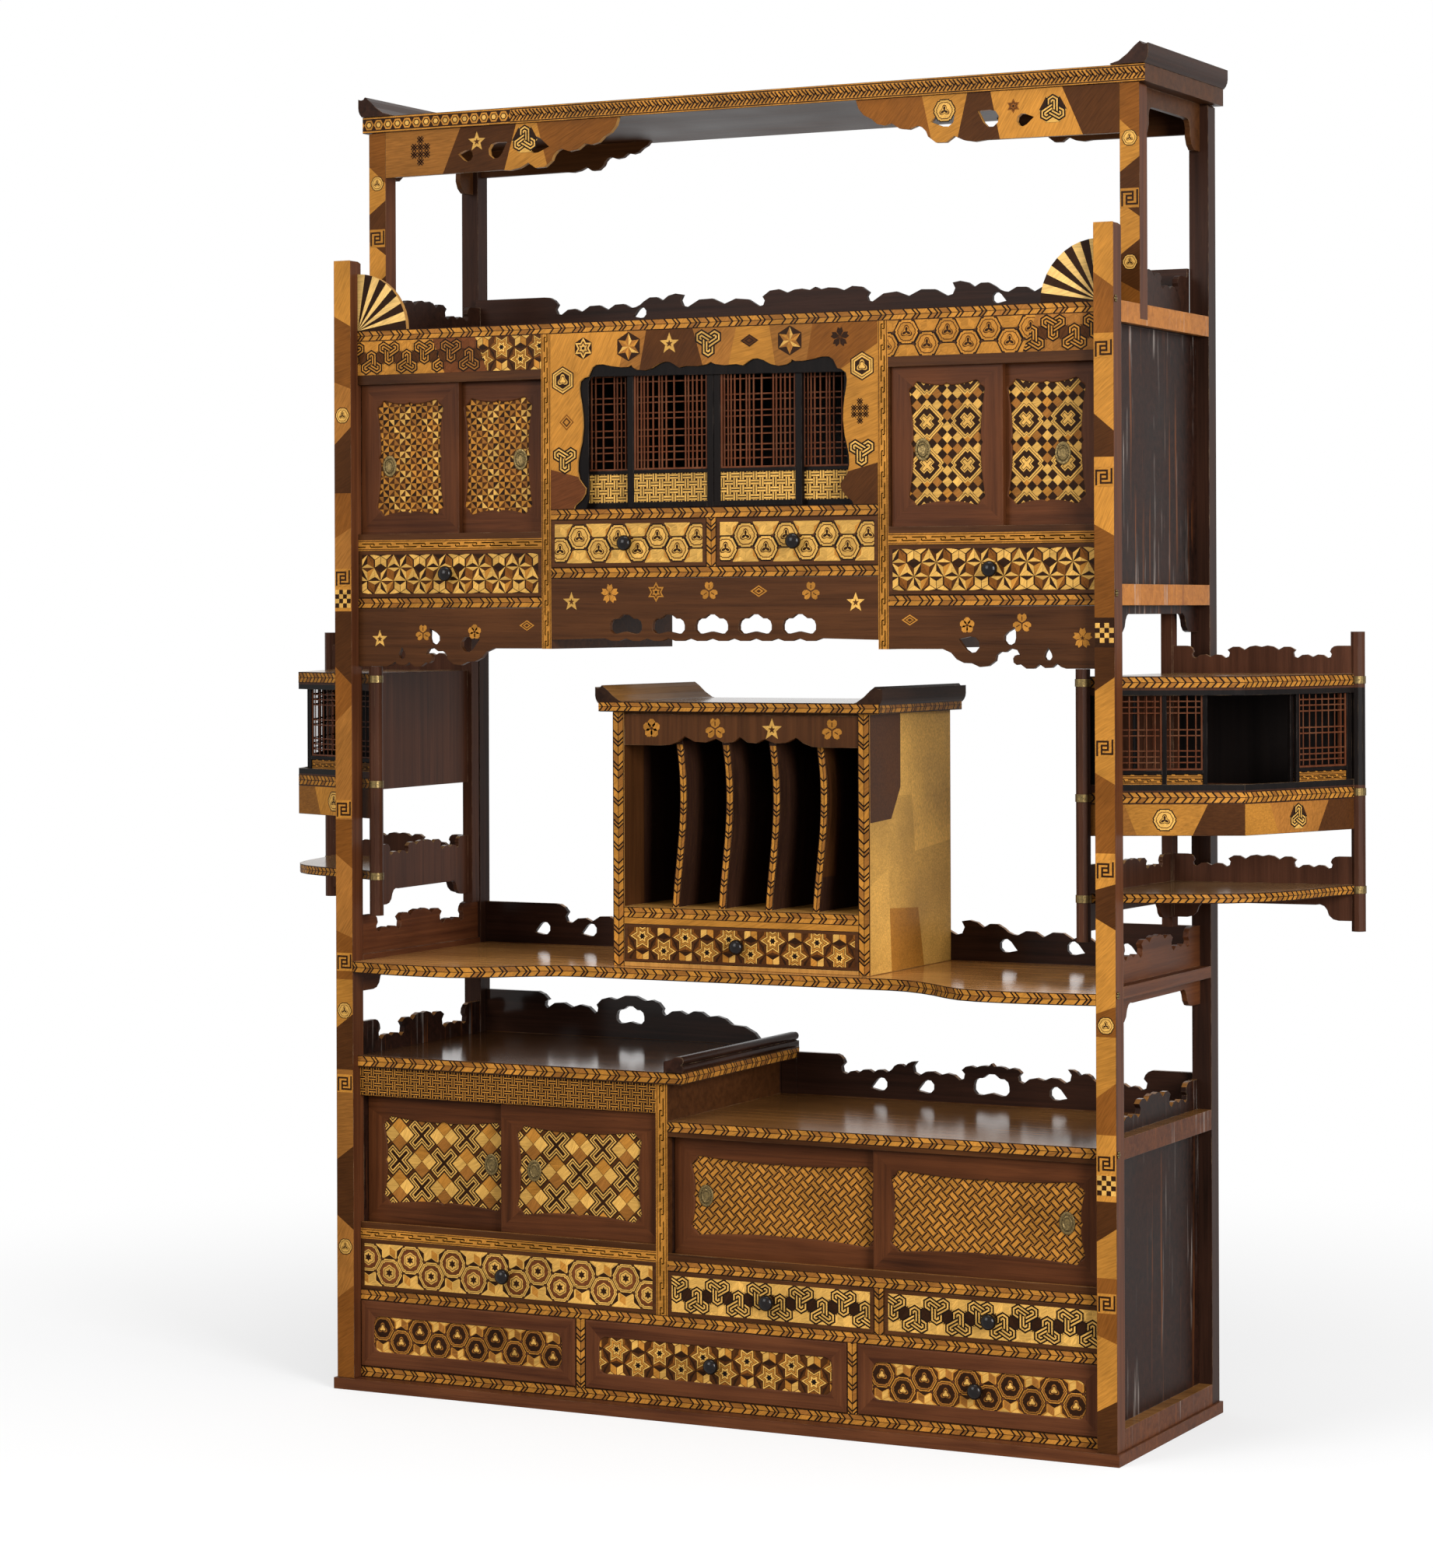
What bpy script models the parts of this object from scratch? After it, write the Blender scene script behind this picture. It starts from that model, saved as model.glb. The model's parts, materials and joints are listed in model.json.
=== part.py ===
"""Shelf cabinet: a tall marquetry display cabinet with drawers, sliding doors,
lattice screens, a small pigeon-hole cabinet and two corner wing shelves.
All sizes are in metres, +Z is up and the front faces -Y."""
import math

import bmesh
import bpy
from mathutils import Vector
from mathutils.geometry import tessellate_polygon

for old in list(bpy.data.objects):
    bpy.data.objects.remove(old, do_unlink=True)

# Overall sizes and the frame of posts.
WIDTH = 1.200
DEPTH = 0.390
POST = 0.028
GAP = 0.0003
SLIP = 0.0006
FRONT_SET = 0.019
BASE_T = 0.016
BASE_OUT = 0.004
POST_HORN = 0.101
CHAMFER = 0.003
PANEL_T = 0.009
FRET_T = 0.008
RAIL_T = 0.015
LIP_T = 0.006
LIP_H = 0.009

# Lower case: three bottom drawers, then a tall left half and a low right half.
BOTTOM_RAIL_T = 0.015
BOTTOM_DRAWER_H = 0.096
LL_DRAWER_H = 0.073
LL_DOOR_H = 0.192
LL_FRIEZE_H = 0.041
LL_TOP_T = 0.0165
LR_DRAWER_H = 0.062
LR_DOOR_H = 0.171
LR_HEAD_H = 0.006
LOWER_DIVIDER = 0.018
SPLIT_X = -0.0807
LL_TOP_OUT = 0.026
STRIP_W = 0.015
THIRD_X = 0.2099

# Middle shelf with its gallery, and the small cabinet that stands on it.
MID_LIFT = 0.1199
MID_T = 0.016
MID_DEEP = 0.078
MID_BULGE = 0.016
MID_FLAT = 0.240
GALLERY_H = 0.064
MID_APRON_H = 0.045
KIOSK_HALF = 0.2005
KIOSK_FRONT = 0.102
KIOSK_BACK = 0.012
KIOSK_WALL = 0.0175
KIOSK_DRAWER_H = 0.054
KIOSK_RAIL_T = 0.024
KIOSK_HOLE_H = 0.232
KIOSK_VALANCE_H = 0.044
KIOSK_TOP_T = 0.0145
KIOSK_TOP_OUT = 0.018
KIOSK_SCROLL_W = 0.045
KIOSK_SCROLL_H = 0.026
HOLE_COUNT = 5
HOLE_WALL = 0.011
HOLE_SET = 0.018
HOLE_BOW = 0.013

# Upper case: two side columns and a centre bay with a cusped window.
UPPER_LIFT = 0.508
UPPER_DRAWER_H = 0.068
KEY_RAIL_T = 0.015
UPPER_DOOR_H = 0.224
FRIEZE_H = 0.063
UPPER_DIVIDER = 0.015
CENTRE_HALF = 0.253
CENTRE_LIFT = 0.041
CENTRE_DRAWER_H = 0.067
APRON_H = 0.083
CENTRE_APRON_H = 0.086
SIDE_APRON_H = 0.046
PENDANT = 0.058
CLOUD_COUNT = 5
CLOUD_PITCH = 0.067
CLOUD_W = 0.051
CLOUD_H = 0.026
CLOUD_UP = 0.0215
FAN_R = 0.082
CREST_H = 0.069
SIDE_CREST_H = 0.055

# Top shelf on short posts and the tall rear posts.
TOP_LIFT = 0.295
TOP_T = 0.0235
TOP_OUT = 0.009
UPPER_POST_Y = 0.097
UPPER_POST_DROP = 0.020
BRACKET_H = 0.066
BRACKET_L = 0.386
REAR_BRACKET_H = 0.040
REAR_BRACKET_L = 0.296
SCROLL_W = 0.048
SCROLL_H = 0.029

# Corner wings: plan points A (front), M (corner), B (outer rear), C (inner rear).
WING_A_IN = 0.026
WING_A_SET = 0.004
WING_M_OUT = 0.1375
WING_M_Y = 0.115
WING_B_OUT = 0.221
WING_B_IN = 0.0545
WING_C_IN = 0.0135
WING_C_BACK = 0.078
WING_POST_R = 0.0100
WING_A_HORN = 0.0099
WING_SHELF_T = 0.0165
WING_LOW_T = 0.0132
WING_BULGE = 0.079
WING_CASE_H = 0.135
WING_FRIEZE_H = 0.042
WING_LOW_DROP = 0.134
WING_FOOT = 0.050
WING_HORN = 0.057
WING_GALLERY_H = 0.038
WING_PANEL_W = 0.098
WING_PANEL2_W = 0.112
WING_OPEN = 0.036
WING_BACK_CLEAR = 0.018
WING_STRIP_T = 0.0036
WING_SCREEN_T = 0.0048
WING_SCREEN_FOOT = 0.032

# Sliding doors, screens, drawers and knobs.
DOOR_T = 0.010
DOOR_LAP = 0.024
DOOR_FRAME = 0.021
DOOR_RECESS = 0.003
TRACK_GAP = 0.002
SCREEN_T = 0.008
SCREEN_LAP = 0.012
SCREEN_BAR = 0.004
SCREEN_FRAME = 0.009
SCREEN_FOOT = 0.059
DRAWER_T = 0.008
DRAWER_FRONT_T = 0.014
DRAWER_SPACE = 0.057
KIOSK_DRAWER_SPACE = 0.0267
KNOB_R = 0.0105
KNOB_OUT = 0.019
ARC_STEPS = 3

# Levels and planes that follow from the sizes above.
HALF = WIDTH / 2
INNER = HALF - POST
CASE_X = INNER - GAP
REAR_Y = DEPTH - POST
SIDE_Y0 = POST + GAP
SIDE_Y1 = REAR_Y - GAP
BACK_Y1 = DEPTH - PANEL_T / 2
BACK_Y0 = BACK_Y1 - PANEL_T
LOW_Z = BASE_T + GAP
BOTTOM_Z = LOW_Z + BOTTOM_RAIL_T
RAIL2_Z = BOTTOM_Z + BOTTOM_DRAWER_H
HALF_Z = RAIL2_Z + RAIL_T
LL_KEY_Z = HALF_Z + LL_DRAWER_H
LL_DOOR_Z = LL_KEY_Z + RAIL_T
LL_FRIEZE_Z = LL_DOOR_Z + LL_DOOR_H
LL_ROOF_Z = LL_FRIEZE_Z + LL_FRIEZE_H
LR_RAIL_Z = HALF_Z + LR_DRAWER_H
LR_DOOR_Z = LR_RAIL_Z + RAIL_T
LR_ROOF_Z = LR_DOOR_Z + LR_DOOR_H + LR_HEAD_H
LR_TOP = LR_ROOF_Z + RAIL_T
LL_TOP = LL_ROOF_Z + GAP + LL_TOP_T
SPLIT_X0 = SPLIT_X - LOWER_DIVIDER / 2
SPLIT_X1 = SPLIT_X0 + LOWER_DIVIDER
LR_MID = (SPLIT_X1 + CASE_X) / 2
MID_Z = LL_TOP + MID_LIFT
SHELF_TOP = MID_Z + MID_T
KIOSK_Z = SHELF_TOP + GAP
KIOSK_Y1 = DEPTH - KIOSK_BACK
KIOSK_RAIL_Z = KIOSK_Z + KIOSK_DRAWER_H + LIP_T
KIOSK_FLOOR = KIOSK_RAIL_Z + KIOSK_RAIL_T
KIOSK_VALANCE_Z = KIOSK_FLOOR + KIOSK_HOLE_H
KIOSK_ROOF = KIOSK_VALANCE_Z + KIOSK_VALANCE_H
UPPER_Z = SHELF_TOP + UPPER_LIFT
RAIL_TOP = UPPER_Z + RAIL_T
KEY_Z = RAIL_TOP + UPPER_DRAWER_H
DOOR_Z = KEY_Z + KEY_RAIL_T
FRIEZE_Z = DOOR_Z + UPPER_DOOR_H
ROOF_Z = FRIEZE_Z + FRIEZE_H
CASE_TOP = ROOF_Z + RAIL_T
CENTRE_Z = UPPER_Z + CENTRE_LIFT
CENTRE_TOP = CENTRE_Z + RAIL_T
SCREEN_RAIL_Z = CENTRE_TOP + CENTRE_DRAWER_H
SCREEN_Z = SCREEN_RAIL_Z + RAIL_T
COLUMN_X = CENTRE_HALF + UPPER_DIVIDER
APRON_BOTTOM = UPPER_Z - APRON_H
TOP_Z = CASE_TOP + TOP_LIFT
TOP_TOP = TOP_Z + TOP_T
POST_TOP = CASE_TOP + POST_HORN
WING_TOP_Z = APRON_BOTTOM - 2 * GAP - WING_A_HORN - WING_SHELF_T
DRAWER_BACK = BACK_Y0 - DRAWER_SPACE
KIOSK_DRAWER_BACK = KIOSK_Y1 - PANEL_T - KIOSK_DRAWER_SPACE
# The part's own origin: on the floor, half way between its foremost and rearmost edges.
MIDDLE_Y = (DEPTH + TOP_OUT + CHAMFER - MID_BULGE) / 2

TONES = {
    "dark": ((0.045, 0.022, 0.014), 0.42),
    "black": ((0.012, 0.010, 0.010), 0.35),
    "brown": ((0.120, 0.052, 0.024), 0.45),
    "red": ((0.200, 0.080, 0.038), 0.48),
    "light": ((0.520, 0.300, 0.105), 0.40),
    "honey": ((0.400, 0.205, 0.070), 0.42),
}


def material(tone):
    """One plain wood material for a piece."""
    colour, rough = TONES[tone]
    mat = bpy.data.materials.new(tone)
    mat.use_nodes = True
    shader = mat.node_tree.nodes["Principled BSDF"]
    shader.inputs["Base Color"].default_value = (*colour, 1.0)
    shader.inputs["Roughness"].default_value = rough
    shader.inputs["Metallic"].default_value = 0.0
    mat.diffuse_color = (*colour, 1.0)
    return mat


def finish(name, bm, tone):
    """Turn a bmesh into a named object with its origin under its middle."""
    bmesh.ops.remove_doubles(bm, verts=bm.verts, dist=1e-6)
    bmesh.ops.recalc_face_normals(bm, faces=bm.faces)
    lows = [min(v.co[i] for v in bm.verts) for i in range(3)]
    highs = [max(v.co[i] for v in bm.verts) for i in range(3)]
    origin = Vector(((lows[0] + highs[0]) / 2, (lows[1] + highs[1]) / 2, lows[2]))
    bmesh.ops.translate(bm, verts=bm.verts, vec=-origin)
    mesh = bpy.data.meshes.new(name)
    bm.to_mesh(mesh)
    bm.free()
    obj = bpy.data.objects.new(name, mesh)
    obj.location = origin - Vector((0, MIDDLE_Y, 0))
    bpy.context.collection.objects.link(obj)
    mesh.materials.append(material(tone))
    mesh.shade_smooth()
    mesh.set_sharp_from_angle(angle=math.radians(35))
    return obj


def front(u, v, w):
    """Board facing the front: u along X, v up, w back along Y."""
    return (u, w, v)


def side(u, v, w):
    """Board facing sideways: u along Y, v up, w along X."""
    return (w, u, v)


def flat(u, v, w):
    """Level board: u along X, v along Y, w up."""
    return (u, v, w)


def bowed(p, q, rise):
    """Points from p up to but without q, bowed to the left by rise times the length."""
    if abs(rise) < 1e-9:
        return [p]
    run = math.hypot(q[0] - p[0], q[1] - p[1])
    along = ((q[0] - p[0]) / run, (q[1] - p[1]) / run)
    left = (-along[1], along[0])
    half = 2 * math.atan(2 * abs(rise))
    radius = run / (2 * math.sin(half))
    sign = 1 if rise > 0 else -1
    middle = ((p[0] + q[0]) / 2, (p[1] + q[1]) / 2)
    points = [p]
    for step in range(1, ARC_STEPS):
        angle = -half + 2 * half * step / ARC_STEPS
        forth = radius * math.sin(angle)
        up = sign * radius * (math.cos(angle) - math.cos(half))
        points.append((middle[0] + along[0] * forth + left[0] * up,
                       middle[1] + along[1] * forth + left[1] * up))
    return points


def traced(profile, u0, v0, du, dv):
    """A line through profile rows (u share, v share, bow), scaled into place."""
    spots = [(u0 + row[0] * du, v0 + row[1] * dv, row[2]) for row in profile]
    turn = 1 if du * dv > 0 else -1
    points = []
    for here, there in zip(spots, spots[1:]):
        points += bowed(here[:2], there[:2], here[2] * turn)
    points.append(spots[-1][:2])
    return points


def mirrored(profile):
    """A half profile followed by its mirror image, as shares from 0 to 1."""
    left = [(row[0] / 2, row[1], row[2]) for row in profile]
    right = []
    for here, back in zip(reversed(profile[:-1]), reversed(profile)):
        right.append((1 - here[0] / 2, here[1], 0))
    bows = [row[2] for row in profile[:-1]]
    whole = left[:-1] + [(left[-1][0], left[-1][1], bows[-1])]
    for spot, bow in zip(right, list(reversed(bows))[1:] + [0]):
        whole.append((spot[0], spot[1], bow))
    return whole


def drop(u, v, size, tilt=0.0, steps=7):
    """A teardrop ring: a round end and one point."""
    ring = [(size * 0.85, 0.0)]
    for i in range(steps):
        a = math.radians(55 + (250 / (steps - 1)) * i)
        ring.append((size * 0.45 * math.cos(a), size * 0.45 * math.sin(a)))
    return [(u + x * math.cos(tilt) - y * math.sin(tilt),
             v + x * math.sin(tilt) + y * math.cos(tilt)) for x, y in ring]


def cloud(u, v, wide, high):
    """A cloud ring: three lobes above and a notch below."""
    rows = ((0.5, 0.12, 0), (0.22, 0.0, -0.3), (0.0, 0.45, -0.25), (0.25, 0.80, -0.25),
            (0.75, 0.80, -0.25), (1.0, 0.45, -0.3), (0.78, 0.0, 0), (0.5, 0.12, 0))
    rows = tuple((a, b, -c) for a, b, c in rows)
    return traced(rows, u - wide / 2, v - high / 2, wide, high)[:-1]


def slab(bm, outline, holes, low, high, place):
    """Add a board with holes: a flat outline drawn out from low to high."""
    rings = [list(outline)] + [list(hole) for hole in holes]
    flat_points = [point for ring in rings for point in ring]
    faces = tessellate_polygon([[Vector((u, v, 0)) for u, v in ring] for ring in rings])
    floor = [bm.verts.new(place(u, v, low)) for u, v in flat_points]
    roof = [bm.verts.new(place(u, v, high)) for u, v in flat_points]
    for a, b, c in faces:
        bm.faces.new((floor[a], floor[b], floor[c]))
        bm.faces.new((roof[a], roof[c], roof[b]))
    start = 0
    for ring in rings:
        count = len(ring)
        for i in range(count):
            a = start + i
            b = start + (i + 1) % count
            bm.faces.new((floor[a], floor[b], roof[b], roof[a]))
        start += count


def board(name, tone, outline, holes, low, high, place):
    """A named board with holes."""
    bm = bmesh.new()
    slab(bm, outline, holes, low, high, place)
    return finish(name, bm, tone)


def rectangle(u0, u1, v0, v1):
    return [(u0, v0), (u1, v0), (u1, v1), (u0, v1)]


def blocks(solids, cuts=()):
    """A bmesh of boxes joined into one skin; cuts are boxes left empty."""
    marks = []
    for axis in range(3):
        values = set()
        for box in list(solids) + list(cuts):
            values.add(round(box[2 * axis], 6))
            values.add(round(box[2 * axis + 1], 6))
        marks.append(sorted(values))

    def inside(spot, box):
        return all(box[2 * i] - 1e-7 < spot[i] < box[2 * i + 1] + 1e-7 for i in range(3))

    filled = set()
    counts = [len(m) - 1 for m in marks]
    for i in range(counts[0]):
        x = (marks[0][i] + marks[0][i + 1]) / 2
        for j in range(counts[1]):
            y = (marks[1][j] + marks[1][j + 1]) / 2
            for k in range(counts[2]):
                spot = (x, y, (marks[2][k] + marks[2][k + 1]) / 2)
                if any(inside(spot, box) for box in solids) and not any(inside(spot, box) for box in cuts):
                    filled.add((i, j, k))
    bm = bmesh.new()
    known = {}

    def vert(i, j, k):
        key = (i, j, k)
        if key not in known:
            known[key] = bm.verts.new((marks[0][i], marks[1][j], marks[2][k]))
        return known[key]

    for i, j, k in filled:
        corners = {
            (-1, 0, 0): ((0, 0, 0), (0, 0, 1), (0, 1, 1), (0, 1, 0)),
            (1, 0, 0): ((1, 0, 0), (1, 1, 0), (1, 1, 1), (1, 0, 1)),
            (0, -1, 0): ((0, 0, 0), (1, 0, 0), (1, 0, 1), (0, 0, 1)),
            (0, 1, 0): ((0, 1, 0), (0, 1, 1), (1, 1, 1), (1, 1, 0)),
            (0, 0, -1): ((0, 0, 0), (0, 1, 0), (1, 1, 0), (1, 0, 0)),
            (0, 0, 1): ((0, 0, 1), (1, 0, 1), (1, 1, 1), (0, 1, 1)),
        }
        for step, ring in corners.items():
            if (i + step[0], j + step[1], k + step[2]) not in filled:
                bm.faces.new([vert(i + a, j + b, k + c) for a, b, c in ring])
    bmesh.ops.dissolve_limit(bm, angle_limit=0.01, verts=bm.verts, edges=bm.edges)
    bmesh.ops.triangulate(bm, faces=bm.faces)
    return bm


def mesh_of(bm):
    """A loose object used while joining; it doesn't stay in the scene."""
    bmesh.ops.remove_doubles(bm, verts=bm.verts, dist=1e-6)
    bmesh.ops.recalc_face_normals(bm, faces=bm.faces)
    mesh = bpy.data.meshes.new("joining")
    bm.to_mesh(mesh)
    bm.free()
    obj = bpy.data.objects.new("joining", mesh)
    bpy.context.collection.objects.link(obj)
    return obj


def joined(pieces):
    """A bmesh of several closed bodies that overlap, joined into one."""
    bodies = [mesh_of(bm) for bm in pieces]
    main = bodies[0]
    for other in bodies[1:]:
        other.hide_render = True
        other.display_type = "WIRE"
        join = main.modifiers.new("join", "BOOLEAN")
        join.operation = "UNION"
        join.solver = "EXACT"
        join.object = other
    bpy.context.view_layer.update()
    graph = bpy.context.evaluated_depsgraph_get()
    result = bmesh.new()
    result.from_mesh(main.evaluated_get(graph).to_mesh())
    main.evaluated_get(graph).to_mesh_clear()
    for body in bodies:
        mesh = body.data
        bpy.data.objects.remove(body, do_unlink=True)
        bpy.data.meshes.remove(mesh)
    bmesh.ops.remove_doubles(result, verts=result.verts, dist=1e-6)
    bmesh.ops.dissolve_limit(result, angle_limit=0.002, verts=result.verts, edges=result.edges)
    bmesh.ops.triangulate(result, faces=result.faces)
    return result


def drawn(outline, holes, low, high, place):
    """A loose bmesh board, for joining."""
    bm = bmesh.new()
    slab(bm, outline, holes, low, high, place)
    return bm


def lathe(profile, steps=10):
    """A turned body about the Y axis; profile rows are (distance forward, radius)."""
    bm = bmesh.new()
    rings = []
    for ahead, radius in profile:
        ring = []
        for i in range(steps):
            a = 2 * math.pi * i / steps
            ring.append(bm.verts.new((radius * math.cos(a), -ahead, radius * math.sin(a))))
        rings.append(ring)
    for here, there in zip(rings, rings[1:]):
        for i in range(steps):
            j = (i + 1) % steps
            bm.faces.new((here[i], here[j], there[j], there[i]))
    bm.faces.new(rings[0])
    bm.faces.new(rings[-1])
    return bm


def post(name, tone, x, y, z0, z1):
    """A square post with its top edges eased."""
    low = rectangle(x - POST / 2, x + POST / 2, y, y + POST)
    inner = rectangle(x - POST / 2 + CHAMFER, x + POST / 2 - CHAMFER, y + CHAMFER, y + POST - CHAMFER)
    bm = bmesh.new()
    rings = []
    for ring, z in ((low, z0), (low, z1 - CHAMFER), (inner, z1)):
        rings.append([bm.verts.new((a, b, z)) for a, b in ring])
    for here, there in zip(rings, rings[1:]):
        for i in range(4):
            j = (i + 1) % 4
            bm.faces.new((here[i], here[j], there[j], there[i]))
    bm.faces.new(rings[0])
    bm.faces.new(rings[-1])
    return finish(name, bm, tone)


def drawer(name, tone, x0, x1, z0, z1, y, back, knob):
    """An open box drawer with a thicker front and, where there is one, a turned knob."""
    x0 += SLIP
    x1 -= SLIP
    z0 += SLIP
    z1 -= SLIP
    inner = y + DRAWER_FRONT_T
    hollow = (x0 + DRAWER_T, x1 - DRAWER_T, inner, back - DRAWER_T, z0 + DRAWER_T, z1 + 1)
    low_walls = (x0 - 1, x1 + 1, inner, back + 1, z1 - DRAWER_T, z1 + 1)
    skin = blocks([(x0, x1, y, back, z0, z1)], [hollow, low_walls])
    if not knob:
        return finish(name, skin, tone)
    turned = lathe(((-DRAWER_FRONT_T / 2, KNOB_R * 0.5), (KNOB_OUT * 0.28, KNOB_R * 0.5),
                    (KNOB_OUT * 0.45, KNOB_R * 0.95), (KNOB_OUT * 0.72, KNOB_R),
                    (KNOB_OUT * 0.92, KNOB_R * 0.7), (KNOB_OUT, KNOB_R * 0.25)))
    bmesh.ops.translate(turned, verts=turned.verts, vec=((x0 + x1) / 2, y, (z0 + z1) / 2))
    return finish(name, joined([skin, turned]), tone)


def wavy_ring(u0, u1, v0, v1):
    """A soft cusped opening, as cut in the door frames."""
    rows = ((0.05, 0.0, -0.04), (0.5, 0.03, -0.04), (0.95, 0.0, 0.3), (1.0, 0.07, -0.03),
            (0.97, 0.5, -0.03), (1.0, 0.93, 0.3), (0.95, 1.0, -0.06), (0.5, 0.97, -0.06),
            (0.05, 1.0, 0.3), (0.0, 0.93, -0.03), (0.03, 0.5, -0.03), (0.0, 0.07, 0.3), (0.05, 0.0, 0.0))
    rows = tuple((a, b, -c) for a, b, c in rows)
    return traced(rows, u0, v0, u1 - u0, v1 - v0)[:-1]


def door(name, x0, x1, z0, z1, y):
    """A sliding door: a frame with a cusped opening over a recessed panel."""
    bm = bmesh.new()
    outer = rectangle(x0, x1, z0, z1)
    ring = wavy_ring(x0 + DOOR_FRAME, x1 - DOOR_FRAME, z0 + DOOR_FRAME, z1 - DOOR_FRAME)
    rings = [outer, ring]
    points = outer + ring
    faces = tessellate_polygon([[Vector((u, v, 0)) for u, v in part] for part in rings])
    fore = [bm.verts.new((u, y, v)) for u, v in points]
    for a, b, c in faces:
        bm.faces.new((fore[a], fore[b], fore[c]))
    sunk = [bm.verts.new((u, y + DOOR_RECESS, v)) for u, v in ring]
    for i in range(len(ring)):
        j = (i + 1) % len(ring)
        bm.faces.new((fore[4 + i], fore[4 + j], sunk[j], sunk[i]))
    bm.faces.new(sunk)
    rear = [bm.verts.new((u, y + DOOR_T, v)) for u, v in outer]
    for i in range(4):
        j = (i + 1) % 4
        bm.faces.new((fore[i], fore[j], rear[j], rear[i]))
    bm.faces.new(rear)
    bmesh.ops.triangulate(bm, faces=bm.faces)
    return finish(name, bm, "brown")


def door_pair(stem, x0, x1, z0, z1, front_first):
    """Two doors on two tracks behind the case's lip; each covers a little over half."""
    wide = (x1 - x0 + DOOR_LAP) / 2 - SLIP
    near = FRONT_SET + LIP_T + TRACK_GAP
    far = near + DOOR_T + TRACK_GAP
    left_y, right_y = (near, far) if front_first else (far, near)
    door(stem + "_left", x0 + SLIP, x0 + SLIP + wide, z0 + SLIP, z1 - SLIP, left_y)
    door(stem + "_right", x1 - SLIP - wide, x1 - SLIP, z0 + SLIP, z1 - SLIP, right_y)


def screen(u0, u1, v0, v1, w0, w1, across, up, foot):
    """A bmesh of a lattice screen: a frame, crossing bars and a closed foot panel."""
    sill = v0 + foot
    holes = []
    wide = (u1 - u0 - 2 * SCREEN_FRAME + SCREEN_BAR) / across
    high = (v1 - SCREEN_FRAME - sill + SCREEN_BAR) / up
    for i in range(across):
        for j in range(up):
            a = u0 + SCREEN_FRAME + i * wide
            b = sill + j * high
            holes.append((a, a + wide - SCREEN_BAR, w0 - 1, w1 + 1, b, b + high - SCREEN_BAR))
    return blocks([(u0, u1, w0, w1, v0, v1)], holes)


# Edge profiles as shares of a board's length and height, with a bow for each step.
CREST = ((0.0, 0.97, 0), (0.21, 0.97, 0.15), (0.25, 0.80, -0.45), (0.262, 0.58, 0.2),
         (0.322, 0.62, 0.2), (0.40, 0.64, 0.2), (0.469, 0.66, -0.1), (0.506, 0.79, 0.2),
         (0.561, 0.79, 0.15), (0.62, 0.90, -0.4), (0.635, 0.63, 0.18), (0.74, 0.66, 0.18),
         (0.84, 0.58, -0.45), (0.85, 0.78, 0.2), (0.92, 0.84, 0.1), (0.985, 0.88, 0), (1.0, 0.94, 0))
SHORT_CREST = ((0.0, 1.0, 0), (0.20, 1.0, 0.2), (0.28, 0.80, -0.4), (0.30, 0.58, 0.2), (0.46, 0.62, 0.2),
               (0.62, 0.58, -0.4), (0.64, 0.86, 0.2), (0.82, 0.86, 0.15), (1.0, 0.96, 0))
FALLING = ((0.0, 1.0, 0), (0.16, 1.0, 0.15), (0.22, 0.84, -0.4), (0.215, 0.66, 0.2),
           (0.30, 0.70, 0.2), (0.38, 0.60, -0.3), (0.385, 0.78, 0.2), (0.45, 0.90, 0.15),
           (0.55, 0.90, 0.2), (0.61, 0.76, -0.35), (0.62, 0.62, 0.2), (0.69, 0.66, 0.2),
           (0.76, 0.64, 0.15), (0.84, 0.50, 0.15), (0.94, 0.16, 0), (1.0, 0.16, 0))
APRON = ((0.0, 1.0, 0), (0.13, 1.0, 0.12), (0.20, 0.92, 0.25), (0.28, 0.93, 0.25), (0.37, 0.93, 0.35),
         (0.405, 0.84, 0.3), (0.37, 0.80, -0.35), (0.44, 0.74, -0.3), (0.49, 0.88, 0.2), (0.60, 0.92, 0.15),
         (0.70, 0.75, 0), (0.74, 0.69, 0), (1.0, 0.69, 0))
BRACKET = ((0.0, 1.0, 0), (0.50, 0.98, 0.1), (0.62, 0.86, 0.25), (0.72, 0.84, -0.15), (0.76, 0.60, 0.18),
           (0.86, 0.52, 0.18), (0.94, 0.40, 0.15), (1.0, 0.0, 0))


def gallery(u0, u1, v0, high, holes, profile=CREST):
    """A standing board with a cloud edge on top; holes are (share along, share up, size)."""
    shares = profile if profile is FALLING else mirrored(profile)
    top = traced(shares, u0, v0, u1 - u0, high)
    outline = [(u0, v0), (u1, v0)] + list(reversed(top))
    rings = []
    for place, up, size in holes:
        u = u0 + (u1 - u0) * place
        v = v0 + high * up
        if abs(place - 0.5) < 0.01:
            rings.append(cloud(u, v, high * size * 1.8, high * size))
        else:
            rings.append(drop(u, v, high * size, math.radians(200 if place < 0.5 else -20)))
    return outline, rings


def apron(u0, u1, v1, high, holes, profile):
    """A hanging board with a fretted lower edge that runs from u0 to u1."""
    edge = traced(profile, u0, v1, u1 - u0, -high)
    outline = edge + [(u1, v1), (u0, v1)] if profile[-1][1] > 0 else edge + [(u0, v1)]
    rings = [drop(u0 + (u1 - u0) * a, v1 - high * b, high * s, math.radians(t)) for a, b, s, t in holes]
    return outline, rings


def side_fret(x, z, high, down):
    """A short fretted board between the front and rear posts, joined to a side."""
    if down:
        outline, rings = apron(SIDE_Y0, SIDE_Y1, z, high, (), SIDE_APRON)
    else:
        outline, rings = gallery(SIDE_Y0, SIDE_Y1, z, high, (), SHORT_CREST)
    return drawn(outline, rings, min(x), max(x), side)


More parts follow.
